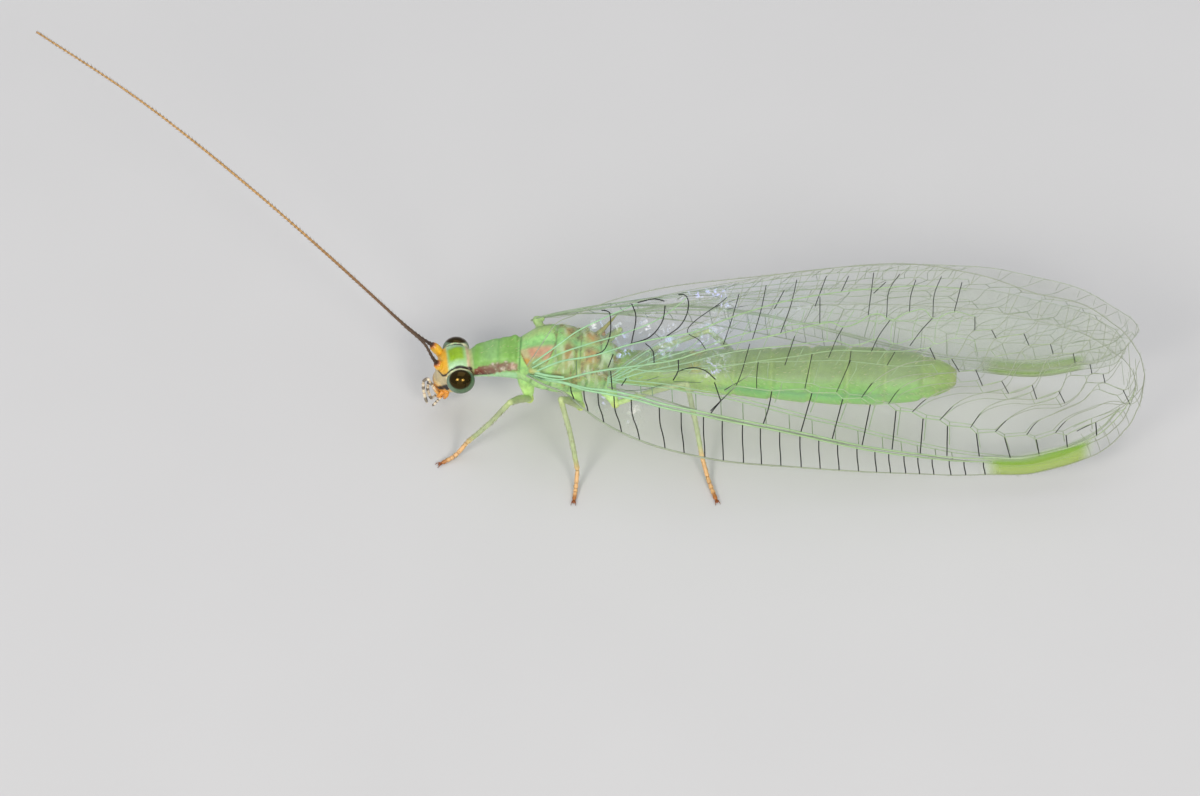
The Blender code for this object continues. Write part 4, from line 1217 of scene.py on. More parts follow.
    def paint_head(self, paint: Paint, places: np.ndarray) -> None:
        """Green crown, yellow-orange band between the feelers, cream face, black cheek marks."""
        forward, left, up = Head.into(places).T
        here = self.head_share(places)
        side = np.abs(left)
        paint.wash("#A9C47E", here)
        paint.wash("#CCBC92", here * ramp(forward, 0.1, 0.2) * (1 - ramp(up, 0.16, 0.24)))
        crown = here * ramp(up, 0.12, 0.24) * (1 - ramp(forward, 0.2, 0.26))
        paint.wash("#9CC78A", crown)
        paint.wash("#BCE0B8", crown * hump(np.abs(left), 0.3, 0.06) * 0.8)
        patch = (1 - ramp(np.abs(forward - 0.03), 0.12, 0.21)) * (1 - ramp(side, 0.13, 0.22))
        paint.wash("#8AB01C", crown * patch)
        paint.wash("#C9A088", crown * (1 - ramp(forward, -0.22, -0.16)) * 0.85)
        paint.wash("#8CCB6A", here * (1 - ramp(forward, -0.3, -0.2)) * ramp(up, 0.0, 0.2) * 0.5)
        front_band = ramp(forward, 0.2, 0.26) * ramp(up, 0.04, 0.12) * (1 - ramp(side, 0.34, 0.42))
        paint.wash("#E0AE3A", here * front_band)
        temple = (1 - ramp(forward, -0.2, -0.08)) * band(up, -0.12, 0.22, 0.05) * ramp(side, 0.12, 0.26)
        paint.wash("#7A3A20", here * temple)
        lower = here * (1 - ramp(up, -0.38, -0.28))
        paint.wash("#DDAF68", lower * ramp(forward, 0.1, 0.25) * 0.9)
        paint.wash("#D6822E", here * hump(up, -0.5, 0.1) * ramp(forward, 0.25, 0.34) * (1 - ramp(side, 0.1, 0.18)))
        paint.wash("#DDB43A", here * (1 - ramp(forward, 0.05, 0.16)) * (1 - ramp(up, -0.36, -0.24)) * 0.85)
        for eye in Side:
            rim = self.eye_rim(eye)
            away = np.min(np.linalg.norm(Head.into(places)[:, None, :] - rim[None, ::4, :], axis=2), axis=1)
            paint.wash("#DCE0B4", here * (1 - ramp(away, 0.035, 0.065)) * 0.9)
        mirrored = np.stack([forward, side, up], axis=1)
        brow = ((0.45, 0.17, 0.14), (0.41, 0.22, 0.08), (0.35, 0.28, 0.04), (0.28, 0.34, 0.12), (0.22, 0.36, 0.23),
                (0.14, 0.35, 0.31), (0.06, 0.34, 0.345))
        paint.wash("#1A140E", here * stroke(mirrored, brow, 0.026))
        nape = ((0.06, 0.34, 0.345), (-0.02, 0.33, 0.35), (-0.13, 0.34, 0.31), (-0.27, 0.33, 0.26))
        paint.wash("#24160E", here * stroke(mirrored, nape, 0.042))
        paint.wash("#1E0F0A", here * stroke(mirrored, ((-0.27, 0.36, 0.24), (-0.33, 0.41, 0.1)), 0.05) * 0.6)
        cheek = ((0.405, 0.175, -0.51), (0.325, 0.27, -0.4), (0.235, 0.355, -0.26))
        paint.wash("#14120E", here * stroke(mirrored, cheek, 0.09))
        paint.wash("#5A2412", here * stroke(mirrored, ((0.52, 0.0, -0.45), (0.5, 0.13, -0.47)), 0.05) * 0.8)


@dataclass
class Eyes:
    """Two glossy compound eyes, each in its socket."""

    # Half angle in degrees of the painted shade that stands for each eye's dark pseudopupil
    pupil_shade_reach: float = 52.0

    def build(self, bench: Bench) -> None:
        """Builds, paints and hands over both eyes."""
        for side in Side:
            centre, radii = EYE_PLACE[side.word], EYE_RADII[side.word] - 0.002
            axes = np.diag(radii)[[0, 2, 1]] @ Head.TURN.T
            mesh = ellipsoid("eye", Head.out(centre), axes, 60, 96)
            local = (Head.into(places_of(mesh)) - centre) / radii
            pupil_shade_facing = unit(np.array((0.0, 0.55 * side.across, 0.83))) @ Head.TURN
            off_pupil_shade = np.degrees(np.arccos(np.clip(unit(local) @ pupil_shade_facing, -1, 1)))
            paint = Paint(len(local), "#4E7058")
            outward = local[:, 1] * side.head_left
            paint.wash("#6E8F80", ramp(local[:, 0], 0.35, 0.8) * 0.7)
            paint.wash("#64806C", 1 - ramp(outward, -0.1, 0.3))
            paint.wash("#E4E6C0", 1 - ramp(outward, -0.3, -0.14))
            # Painted shade: a near-black cap on the eye's upper outer side, standing for the dark pseudopupil that a
            # compound eye shows where it looks back along the view
            paint.wash("#070806", 1 - ramp(off_pupil_shade, self.pupil_shade_reach - 6, self.pupil_shade_reach + 6))
            paint.dry(mesh)
            bench.piece("eye_" + side.word + "_lens", mesh, EYE_LENS, ["eye_" + side.word])


@dataclass
class Feelers:
    """Scapes and the long whips of many short segments."""

    segment: float = 0.1
    base_radius: float = 0.032
    tip_radius: float = 0.018
    sides: int = 10

    def scape(self, bench: Bench, side: Side) -> None:
        """The swollen first joint, golden orange."""
        socket, tip = np.array(SOCKET[side.word]), np.array(SCAPE_TIP[side.word])
        along = unit(tip - socket)
        path = np.array([socket + along * s for s in np.linspace(-0.06, np.linalg.norm(tip - socket) + 0.02, 16)])
        share = np.linspace(0, 1, 16)
        radii = 0.07 + 0.035 * np.sin(math.pi * np.clip(share * 0.9, 0, 1)) - 0.02 * ramp(share, 0.8, 1.0)
        mesh = tube("scape", path, radii, 28)
        height = (places_of(mesh) - socket) @ along
        long = float(np.linalg.norm(tip - socket))
        paint = Paint(len(height), "#E6B437")
        paint.wash("#CC7A24", 1 - ramp(height, -0.02, 0.05))
        paint.wash("#D8882A", ramp(height, long - 0.06, long - 0.01))
        paint.wash("#6B3A1A", ramp(height, long - 0.01, long + 0.015))
        paint.dry(mesh)
        bench.piece("scape_" + side.word + "_joint", mesh, MOUTH_CUTICLE, ["scape_" + side.word])

    def template(self) -> bpy.types.Mesh:
        """One segment of radius and half length 1, narrow at its joints."""
        heights = np.array((-1.0, -0.88, -0.6, 0.55, 0.86, 1.0))
        widths = np.array((0.7, 0.86, 0.96, 1.06, 0.98, 0.72))
        turns = np.arange(self.sides) * 2 * math.pi / self.sides
        rings = [np.stack([w * np.cos(turns), w * np.sin(turns), np.full(self.sides, h)], axis=1)
                 for h, w in zip(heights, widths)]
        mesh = loft("segment", np.array(rings))
        store_number(mesh, "ring", places_of(mesh)[:, 2])
        return mesh

    def whip(self, bench: Bench, grower: Grower, side: Side, hairs: Bristles) -> None:
        """The whip: dark at its base, golden beyond, with a dark ring at each joint."""
        length = float(np.linalg.norm(np.diff(smooth_path(FEELER_PATH[side.word], 60), axis=0), axis=1).sum())
        count = int(length / self.segment)
        path = smooth_path(FEELER_PATH[side.word], count + 1)
        middles, along = (path[1:] + path[:-1]) / 2, unit(np.diff(path, axis=0))
        share = np.linspace(0, 1, count)
        radii = self.base_radius + (self.tip_radius - self.base_radius) * share**0.7
        radii = radii + 0.008 * hump(share, 0.0, 0.01)
        sizes = np.stack([radii, radii, np.full(count, 0.5 * length / count * 1.04)], axis=1)
        mesh = grower.sow(middles, along, sizes, self.template(), bench.material(FEELER_CUTICLE))
        per = len(mesh.vertices) // count
        where = np.repeat(share, per)
        ring = np.zeros(len(mesh.vertices), np.float32)
        mesh.attributes["ring"].data.foreach_get("value", ring)
        paint = Paint(len(where), "#C79A5C")
        paint.wash("#86603C", 1 - ramp(where, 0.14, 0.45))
        paint.wash("#54402F", 1 - ramp(where, 0.05, 0.24))
        paint.wash("#3E2A1C", 1 - ramp(where, 0.0, 0.045))
        paint.wash("#4A321E", ramp(ring, 0.45, 0.75) * (0.3 + 0.35 * ramp(where, 0.1, 0.4)))
        paint.dry(mesh)
        nodes = ["antenna_base_" + side.word, "antenna_tip_" + side.word]
        bench.piece("whip_" + side.word, mesh, FEELER_CUTICLE, nodes)
        first, second = turned_to(along)
        for k in range(4):
            turn = k * math.pi / 2 + np.arange(count) * 0.4
            out = np.cos(turn)[:, None] * first + np.sin(turn)[:, None] * second
            roots = middles + out * radii[:, None] * 0.95
            spots = np.stack([share, np.full(count, k / 4 + 0.05)], axis=1)
            hairs.add(roots, out * 0.55 + along, 0.07, 0.0032, spots)

    def build(self, bench: Bench, grower: Grower) -> None:
        """Builds both feelers and their short hairs."""
        hairs = Bristles()
        for side in Side:
            self.scape(bench, side)
            self.whip(bench, grower, side, hairs)
        hairs.grow(bench, grower, "whip_hairs", "antenna", "#4A3520", "#9A7A4A")


@dataclass
class Mouth:
    """Lip, jaws and the four banded palps under the face."""

    palp_radius: float = 0.034
    rings: int = 90

    def jaws(self, bench: Bench) -> None:
        """Upper lip, two curved jaws and lower lip as one amber piece."""
        plates = [(-0.62, 0.48, 0.12, 0.15), (-0.7, 0.49, 0.13, 0.16), (-0.8, 0.48, 0.16, 0.15),
                  (-0.88, 0.45, 0.2, 0.11), (-0.92, 0.41, 0.24, 0.07)]
        turns = np.arange(32) * 2 * math.pi / 32
        rings = []
        for up, front, back, width in plates:
            forward = (front + back) / 2 + (front - back) / 2 * np.cos(turns)
            rings.append(Head.out(np.stack([forward, width * np.sin(turns), np.full(32, up)], axis=1)))
        parts = [loft("lips", np.array(rings))]
        for side in Side:
            s = side.head_left
            jaw = Head.out([(0.33, s * 0.14, -0.66), (0.41, s * 0.17, -0.72), (0.45, s * 0.11, -0.85),
                            (0.45, s * 0.03, -0.92)])
            parts.append(tube("jaw", smooth_path(jaw, 14), np.linspace(0.065, 0.018, 14), 14))
            lobe = Head.out([(0.24, s * 0.13, -0.66), (0.26, s * 0.15, -0.8), (0.31, s * 0.12, -0.92)])
            parts.append(tube("lobe", smooth_path(lobe, 10), np.linspace(0.06, 0.03, 10), 12))
        lip = Head.out((0.49, 0.0, -0.68))
        parts.append(ellipsoid("lip", lip, np.diag((0.045, 0.11, 0.1)) @ Head.TURN.T, 12, 20))
        mesh = fused("jaws", parts, 0.012, 2)
        forward, left, up = Head.into(places_of(mesh)).T
        paint = Paint(len(up), "#DC9334")
        paint.wash("#F0C878", hump(up, -0.68, 0.05) * ramp(forward, 0.44, 0.5))
        paint.wash("#9A4E1C", 1 - ramp(up, -0.93, -0.84))
        paint.wash("#6A3012", hump(np.abs(left), 0.13, 0.02) * hump(up, -0.74, 0.08) * 0.6)
        paint.dry(mesh)
        bench.piece("jaws", mesh, MOUTH_CUTICLE, ["mouthparts"])

    def palp(self, bench: Bench, name: str, points: Sequence[Place], side: Side, radius: float,
             joints: Sequence[float], dark: Sequence[tuple[float, float]], node: str) -> None:
        """A jointed palp, ivory with dark bands.

        Args:
            bench: where the piece goes.
            name: its name.
            points: its path in the head's frame, on the left.
            side: its side.
            radius: its radius.
            joints: shares of its length where it narrows.
            dark: (share, width) of its dark bands.
            node: the solid that it stands for.
        """
        line = [(forward, side.head_left * left, up) for forward, left, up in points]
        path = smooth_path(Head.out(line), self.rings)
        share = np.linspace(0, 1, self.rings)
        radii = np.full(self.rings, radius)
        for joint in joints:
            radii -= 0.32 * radius * hump(share, joint, 0.018)
        radii *= np.sqrt(np.clip((1.004 - share) / 0.06, 0.0, 1.0))
        mesh = tube(name, path, radii, 18)
        where = np.append(np.repeat(share, 18), (0.0, 1.0))
        paint = Paint(len(where), "#E2D5BC")
        paint.wash("#DDA052", 1 - ramp(where, 0.04, 0.2))
        ring = np.append(np.tile(np.cos(np.arange(18) * 2 * math.pi / 18), self.rings), (0.0, 0.0))
        for middle, width in dark:
            paint.wash("#2E1C1C", band(where, middle - width, middle + width, 0.015) * (0.85 + 0.15 * ring))
        for joint in joints:
            paint.wash("#B98A5A", hump(where, joint, 0.012) * 0.7)
        paint.dry(mesh)
        bench.piece(name, mesh, MOUTH_CUTICLE, [node])

    def build(self, bench: Bench) -> None:
        """Builds jaws and palps."""
        self.jaws(bench)
        for side in Side:
            self.palp(bench, "palp_upper_" + side.word, MAXILLARY_PALP[side.word], side, self.palp_radius,
                      (0.18, 0.3, 0.5, 0.74), ((0.25, 0.03), (0.41, 0.05), (0.6, 0.04), (0.9, 0.06)),
                      "palp_maxillary_" + side.word)
            self.palp(bench, "palp_lower_" + side.word, LABIAL_PALP[side.word], side, 0.8 * self.palp_radius,
                      (0.35, 0.62), ((0.3, 0.06), (0.52, 0.05), (0.88, 0.08)), "palp_labial_" + side.word)


@dataclass
class Legs:
    """Six slim legs, each one skin from trochanter to foot, with claws and fine bristles."""

    femur_radius: float = 0.08
    tibia_radius: float = 0.058
    tarsus_radius: float = 0.046
    spacing: float = 0.022
    sides: int = 18
    bristles_per_mm: int = 46
    floor_gap: float = 0.004

    def line(self, joints: Sequence[Place]) -> tuple[np.ndarray, np.ndarray, np.ndarray]:
        """The leg's centre line, its radius and its part number along it.

        Returns:
            Points, radii, and a number that runs 0 to 1 along the femur, 1 to 2 along the tibia and
            2 to 3 along the tarsus.
        """
        _, trochanter, knee, ankle, toe = (np.array(joint) for joint in joints)
        foot_low = self.tarsus_radius + self.floor_gap
        sole = ankle + (toe - ankle) * 0.5
        sole[2] = foot_low + 0.06
        toe = np.array((toe[0], toe[1], foot_low))
        bow = np.array((0.0, 0.0, 0.05))
        femur = smooth_path([trochanter, (trochanter + knee) / 2 + bow, knee],
                            int(np.linalg.norm(knee - trochanter) / self.spacing))
        out = unit(np.cross(knee - trochanter, ankle - knee)) * 0.03
        tibia = smooth_path([knee, (knee + ankle) / 2 + out, ankle],
                            int(np.linalg.norm(ankle - knee) / self.spacing))
        tarsus = smooth_path([ankle, sole, toe], int(np.linalg.norm(toe - ankle) / self.spacing))
        points = np.concatenate([femur[:-1], tibia[:-1], tarsus])
        part = np.concatenate([np.linspace(0, 1, len(femur))[:-1], np.linspace(1, 2, len(tibia))[:-1],
                               np.linspace(2, 3, len(tarsus))])
        for _ in range(6):
            points[1:-1] = 0.25 * points[:-2] + 0.5 * points[1:-1] + 0.25 * points[2:]
        hind = 0.76 if trochanter[0] > 1.5 else 1.0
        radii = np.where(part < 1, hind * self.femur_radius * (0.82 + 0.26 * np.sin(math.pi * np.clip(part, 0, 1) ** 0.7)),
                         np.where(part < 2, self.tibia_radius * (1.08 - 0.2 * (part - 1)), self.tarsus_radius))
        radii = radii - 0.006 * hump(part, 1.04, 0.02)
        radii = radii + 0.006 * hump(part, 1.97, 0.03) - 0.016 * hump(part, 2.0, 0.015)
        for joint in (2.42, 2.58, 2.72, 2.85):
            radii = radii - 0.013 * hump(part, joint, 0.016) + 0.005 * hump(part, joint - 0.04, 0.02)
        radii[-3:] *= (0.92, 0.75, 0.45)
        return points, radii, part

    def paint(self, mesh: bpy.types.Mesh, part: np.ndarray) -> None:
        """Yellow-green with a painted highlight at the knee, amber at the ankle and orange-brown in the foot."""
        where = np.append(np.repeat(part, self.sides), (0.0, 3.0))
        paint = Paint(len(where), "#B2C288")
        paint.wash("#BEDA90", 1 - ramp(where, 0.1, 0.5))
        paint.wash("#AEBC90", band(where, 1.1, 1.8, 0.1) * 0.9)
        # Painted highlight: a paler band at the knee
        paint.wash("#C4D890", hump(where, 1.0, 0.05) * 0.3)
        paint.wash("#DDBC84", ramp(where, 1.8, 2.0))
        paint.wash("#DDB07A", ramp(where, 2.0, 2.1))
        paint.wash("#A8682E", ramp(where, 2.75, 2.95))
        for joint in (2.0, 2.42, 2.58, 2.72, 2.85):
            paint.wash("#8A5426", hump(where, joint, 0.014) * 0.7)
        paint.dry(mesh)

    def bristles(self, points: np.ndarray, radii: np.ndarray, part: np.ndarray, row: int,
                 chance: np.random.Generator, hairs: Bristles) -> None:
        """Sows fine hairs that lean towards the foot."""
        along = unit(np.gradient(points, axis=0))
        length = float(np.linalg.norm(np.diff(points, axis=0), axis=1).sum())
        count = int(length * self.bristles_per_mm)
        picks = chance.integers(2, len(points) - 3, count)
        turns = chance.uniform(0, 2 * math.pi, count)
        first, second = turned_to(along[picks])
        out = np.cos(turns)[:, None] * first + np.sin(turns)[:, None] * second
        roots = points[picks] + out * radii[picks][:, None] * 0.96
        clear = roots[:, 2] > 0.1
        spots = np.stack([(row + turns / (2 * math.pi)) / 6.0, part[picks] / 3.0], axis=1)
        hairs.add(roots[clear], (out * 0.5 + along[picks])[clear], 0.055, 0.003, spots[clear])

    def claws(self, place: str, points: np.ndarray) -> bpy.types.Mesh:
        """A pair of curved claws with a small pad between them."""
        toe, along = points[-1], points[-1] - points[-6]
        level = unit(np.array((along[0], along[1], 0.0)))
        across = np.array((-level[1], level[0], 0.0))
        parts = []
        for sign in (-1, 1):
            line = [toe - level * 0.02, toe + level * 0.05 + across * sign * 0.035 + (0, 0, 0.012),
                    toe + level * 0.1 + across * sign * 0.05 - (0, 0, 0.012),
                    toe + level * 0.12 + across * sign * 0.052 - (0, 0, 0.036)]
            parts.append(tube("claw", smooth_path(line, 14), np.linspace(0.017, 0.004, 14), 10))
        pad = toe + level * 0.035 - (0, 0, 0.012)
        axes = np.array((level * 0.045, across * 0.035, (0, 0, 0.025)))
        parts.append(ellipsoid("pad", pad, axes, 10, 14))
        return joined("claws_" + place, parts)

    def build(self, bench: Bench, grower: Grower) -> None:
        """Builds all six legs."""
        chance = np.random.default_rng(11)
        hairs = Bristles()
        for row, (place, joints) in enumerate(LEGS.items()):
            points, radii, part = self.line(joints)
            mesh = tube("leg_" + place, points, radii, self.sides)
            self.paint(mesh, part)
            bench.piece("leg_" + place, mesh, LEG_CUTICLE,
                        ["femur_" + place, "tibia_" + place, "tarsus_" + place])
            claws = self.claws(place, points)
            height = places_of(claws)[:, 2]
            paint = Paint(len(height), "#8A4A1C")
            paint.wash("#3A1E0E", 1 - ramp(height, 0.015, 0.045))
            paint.dry(claws)
            bench.piece("claw_pair_" + place, claws, CLAW_HORN, ["claws_" + place])
            self.bristles(points, radii, part, row, chance, hairs)
        hairs.grow(bench, grower, "leg_bristles", "leg", "#7A7448", "#A8A274")


class Line(Enum):
    """How a vein's points are joined."""

    CURVED = "curved"
    ANGLED = "angled"


@dataclass(frozen=True)
class Vein:
    """One vein: its points on the wing as (x, depth), radii at its ends and how dark it is there."""

    points: tuple[tuple[float, float], ...]
    radius: tuple[float, float]
    dark: tuple[float, float] = (0.0, 0.0)
    line: Line = Line.CURVED
    fade: float = 0.0


# Forewing veins as (distance along, depth down the slope) in millimetres
SUBCOSTA = ((-0.05, 1.06), (0.3, 1.27), (0.75, 1.45), (1.19, 1.66), (1.8, 1.87), (2.41, 2.12), (2.78, 2.31),
            (3.78, 2.73), (5.09, 3.28), (5.92, 3.62), (7.25, 4.1), (7.7, 4.22), (8.59, 4.39), (9.46, 4.47),
            (10.1, 4.44))
RADIUS_END = ((9.9, 4.38), (10.6, 4.26), (11.27, 3.97), (11.79, 3.67), (12.31, 3.15), (12.72, 2.5), (12.98, 1.95),
              (13.14, 1.5))
SECTOR = ((3.97, 2.7), (4.18, 2.52), (4.5, 2.25), (4.95, 2.41), (5.28, 2.52), (5.99, 2.59), (6.15, 2.7),
          (6.68, 2.76), (6.82, 2.91), (7.22, 2.92), (7.42, 3.08), (7.81, 3.1), (7.98, 3.26), (8.33, 3.31),
          (8.57, 3.46), (8.93, 3.5), (9.1, 3.63), (9.6, 3.66), (9.73, 3.79), (10.14, 3.7), (10.34, 3.79),
          (10.82, 3.62), (11.03, 3.68), (11.44, 3.43), (11.67, 3.42), (12.3, 2.81), (12.7, 2.35), (12.94, 2.1))
MEDIA = ((0.1, 1.12), (0.66, 1.36), (1.23, 1.33), (1.77, 1.34), (2.57, 1.4), (3.14, 1.42), (3.76, 1.34),
         (4.38, 1.31), (5.27, 1.29), (6.2, 1.19), (6.51, 1.17), (6.76, 1.29), (7.09, 1.22), (7.32, 1.08),
         (7.54, 1.05), (7.78, 1.19), (8.18, 1.03), (8.52, 0.98), (8.69, 1.16), (9.14, 1.0), (9.61, 1.08))
INNER_LINE = ((2.2, 1.42), (2.8, 1.6), (3.4, 1.68), (4.07, 1.76), (4.95, 1.8), (5.73, 1.83), (6.6, 1.8),
              (7.3, 1.86), (7.9, 1.9), (8.66, 1.81))
CUBITUS = ((0.1, 1.05), (0.64, 0.96), (1.35, 0.97), (2.19, 0.88), (2.9, 0.88), (3.41, 0.9), (4.2, 0.75),
           (5.2, 0.62), (6.3, 0.55), (7.4, 0.5), (8.4, 0.46), (9.4, 0.5))
ANAL_ONE = ((0.05, 0.95), (0.64, 0.78), (1.17, 0.7), (1.96, 0.62), (2.83, 0.43), (3.36, 0.12))
ANAL_TWO = ((0.05, 0.85), (0.63, 0.56), (0.88, 0.42), (1.67, 0.17), (2.28, 0.03))
BASE_STEM = ((0.0, 1.0), (0.35, 1.19), (0.75, 1.33))
INNER_STEPS = (((8.66, 1.81), (8.79, 2.08)), ((9.14, 2.05), (9.32, 2.34)), ((9.67, 2.27), (9.83, 2.63)),
               ((10.24, 2.45), (10.4, 2.71)), ((10.9, 2.39), (11.01, 2.7)), ((11.48, 2.4), (11.62, 2.65)))
OUTER_STEPS = (((9.61, 1.08), (9.62, 1.39)), ((9.98, 1.33), (10.09, 1.51)), ((10.68, 1.27), (10.8, 1.5)),
               ((11.26, 1.37), (11.33, 1.58)), ((11.76, 1.44), (11.81, 1.64)), ((12.13, 1.52), (12.18, 1.71)),
               ((12.42, 1.58), (12.47, 1.76)), ((12.86, 1.69), (13.02, 1.95)))
BRANCHES = (
    ((7.22, 2.92), (7.45, 2.6), (8.1, 2.2), (8.79, 2.08), (9.14, 2.05), (9.62, 1.39), (9.98, 1.33), (10.6, 0.34)),
    ((7.81, 3.1), (8.0, 2.8), (8.7, 2.45), (9.32, 2.34), (9.67, 2.27), (10.09, 1.51), (10.68, 1.27), (11.3, 0.36)),
    ((8.33, 3.31), (8.59, 3.03), (9.2, 2.72), (9.83, 2.63), (10.24, 2.45), (10.8, 1.5), (11.26, 1.37), (11.9, 0.37)),
    ((8.93, 3.5), (9.29, 3.08), (9.85, 2.8), (10.4, 2.71), (10.9, 2.39), (11.33, 1.58), (11.76, 1.44), (12.35, 0.37)),
    ((9.6, 3.66), (9.88, 3.2), (10.4, 2.85), (11.01, 2.7), (11.48, 2.4), (11.81, 1.64), (12.13, 1.52), (12.7, 0.42)),
    ((10.14, 3.7), (10.42, 3.31), (10.96, 2.87), (11.62, 2.65), (11.98, 2.2), (12.18, 1.71), (12.42, 1.58),
     (12.95, 0.55)),
    ((10.82, 3.62), (11.0, 3.29), (11.42, 2.94), (12.0, 2.45), (12.47, 1.76), (12.86, 1.69), (13.2, 0.8)),
    ((11.44, 3.43), (11.63, 3.11), (12.2, 2.54), (12.73, 2.04), (13.02, 1.95), (13.36, 1.05)),
    ((11.9, 3.24), (12.3, 2.81), (12.62, 2.42), (13.0, 1.9), (13.33, 1.3)),
)
COSTAL_PLACES = (0.9, 1.19, 1.5, 1.85, 2.23, 2.85, 3.33, 3.82, 4.23, 4.67, 5.06, 5.48, 5.92, 6.33, 6.74, 7.16,
                 7.55, 7.85, 8.18, 8.48, 8.79, 9.16, 9.48, 9.9)
RADIAL_TIES = (((4.18, 2.52), (3.97, 2.76)), ((4.18, 2.52), (4.03, 2.08)), ((5.28, 2.52), (5.22, 2.9), (5.12, 3.24)),
               ((6.15, 2.7), (5.94, 3.57)), ((6.82, 2.91), (6.62, 3.83)), ((7.42, 3.08), (7.27, 4.05)),
               ((7.98, 3.26), (7.92, 4.2)), ((8.57, 3.46), (8.53, 4.32)), ((9.1, 3.63), (9.11, 4.38)),
               ((9.73, 3.79), (9.81, 4.36)), ((10.34, 3.79), (10.48, 4.27)), ((11.03, 3.68), (11.11, 4.08)),
               ((11.67, 3.42), (11.71, 3.74)), ((12.3, 2.81), (12.33, 3.14)))
INNER_TIES = (((4.95, 2.41), (4.94, 2.11), (4.96, 1.8)), ((5.99, 2.59), (6.08, 2.07), (6.12, 1.82)),
              ((6.68, 2.74), (6.82, 2.4), (6.94, 2.04), (6.96, 1.83)), ((7.22, 2.92), (7.43, 2.6)),
              ((4.76, 1.38), (4.68, 1.7), (4.6, 2.0), (4.5, 2.25)), ((5.73, 1.38), (5.54, 1.99)),
              ((6.54, 1.78), (6.48, 1.94)), ((6.76, 1.31), (6.6, 1.62), (6.54, 1.8)),
              ((7.78, 1.19), (7.54, 1.55), (7.4, 1.87)), ((6.96, 2.04), (6.86, 2.3)), ((7.91, 1.9), (7.75, 2.2)),
              ((8.69, 1.16), (8.43, 1.47), (8.23, 1.77)))
OUTER_TIES = (((4.22, 0.28), (3.41, 0.9), (3.66, 1.09), (3.81, 1.32)), ((4.48, 0.25), (4.36, 0.72), (4.19, 1.28)),
              ((5.06, 0.18), (4.98, 0.66), (4.81, 1.31)), ((5.46, 0.35), (5.26, 0.72)),
              ((5.72, 0.17), (5.63, 0.64), (5.42, 1.27)), ((6.24, 0.6), (6.26, 1.17)), ((6.36, 0.16), (6.14, 0.79)),
              ((7.38, 0.16), (7.35, 0.51), (7.3, 1.07)), ((7.65, 0.37), (7.4, 0.6)), ((8.3, 0.33), (8.2, 0.69),
              (8.19, 1.02)), ((6.84, 0.2), (6.7, 0.52)), ((7.95, 0.2), (7.75, 0.5), (7.7, 1.14)),
              ((8.85, 0.25), (8.72, 0.6), (8.7, 1.14)), ((9.3, 0.35), (9.16, 0.99)))
BASE_TIES = (((1.5, 0.02), (1.66, 0.08), (1.71, 0.3), (1.69, 0.69), (1.59, 0.9), (1.35, 0.97)),
             ((2.15, 0.01), (2.24, 0.22), (2.19, 0.86)), ((2.28, 0.01), (2.66, 0.01), (2.86, 0.1)),
             ((2.88, 0.2), (2.84, 0.52), (2.6, 0.8), (2.19, 0.87), (1.35, 0.97)),
             ((3.16, 0.02), (3.3, 0.05), (3.38, 0.19), (3.38, 0.41), (3.24, 0.69), (2.94, 0.87)),
             ((1.8, 1.02), (1.7, 1.29)), ((1.76, 1.38), (1.81, 1.8)), ((2.49, 0.93), (2.66, 1.12), (2.7, 1.4)),
             ((2.11, 1.61), (2.01, 1.75)), ((3.22, 1.42), (3.23, 1.68), (3.13, 1.86)),
             ((3.23, 1.68), (3.52, 1.66), (3.79, 1.76), (4.05, 2.02)))
FAINT_TIES = (((2.08, 1.88), (2.59, 1.94), (2.9, 1.91)), ((2.56, 1.75), (2.82, 1.71)), ((3.14, 1.89), (3.74, 2.03)),
              ((2.69, 0.76), (2.85, 0.92)), ((1.0, 1.0), (1.02, 1.33)))
HINDWING_COSTALS = (2.41, 2.66, 3.1, 3.62, 4.17, 4.65, 5.15, 5.66, 6.16, 6.66, 7.16, 7.69, 8.1, 8.45, 8.84, 9.2)


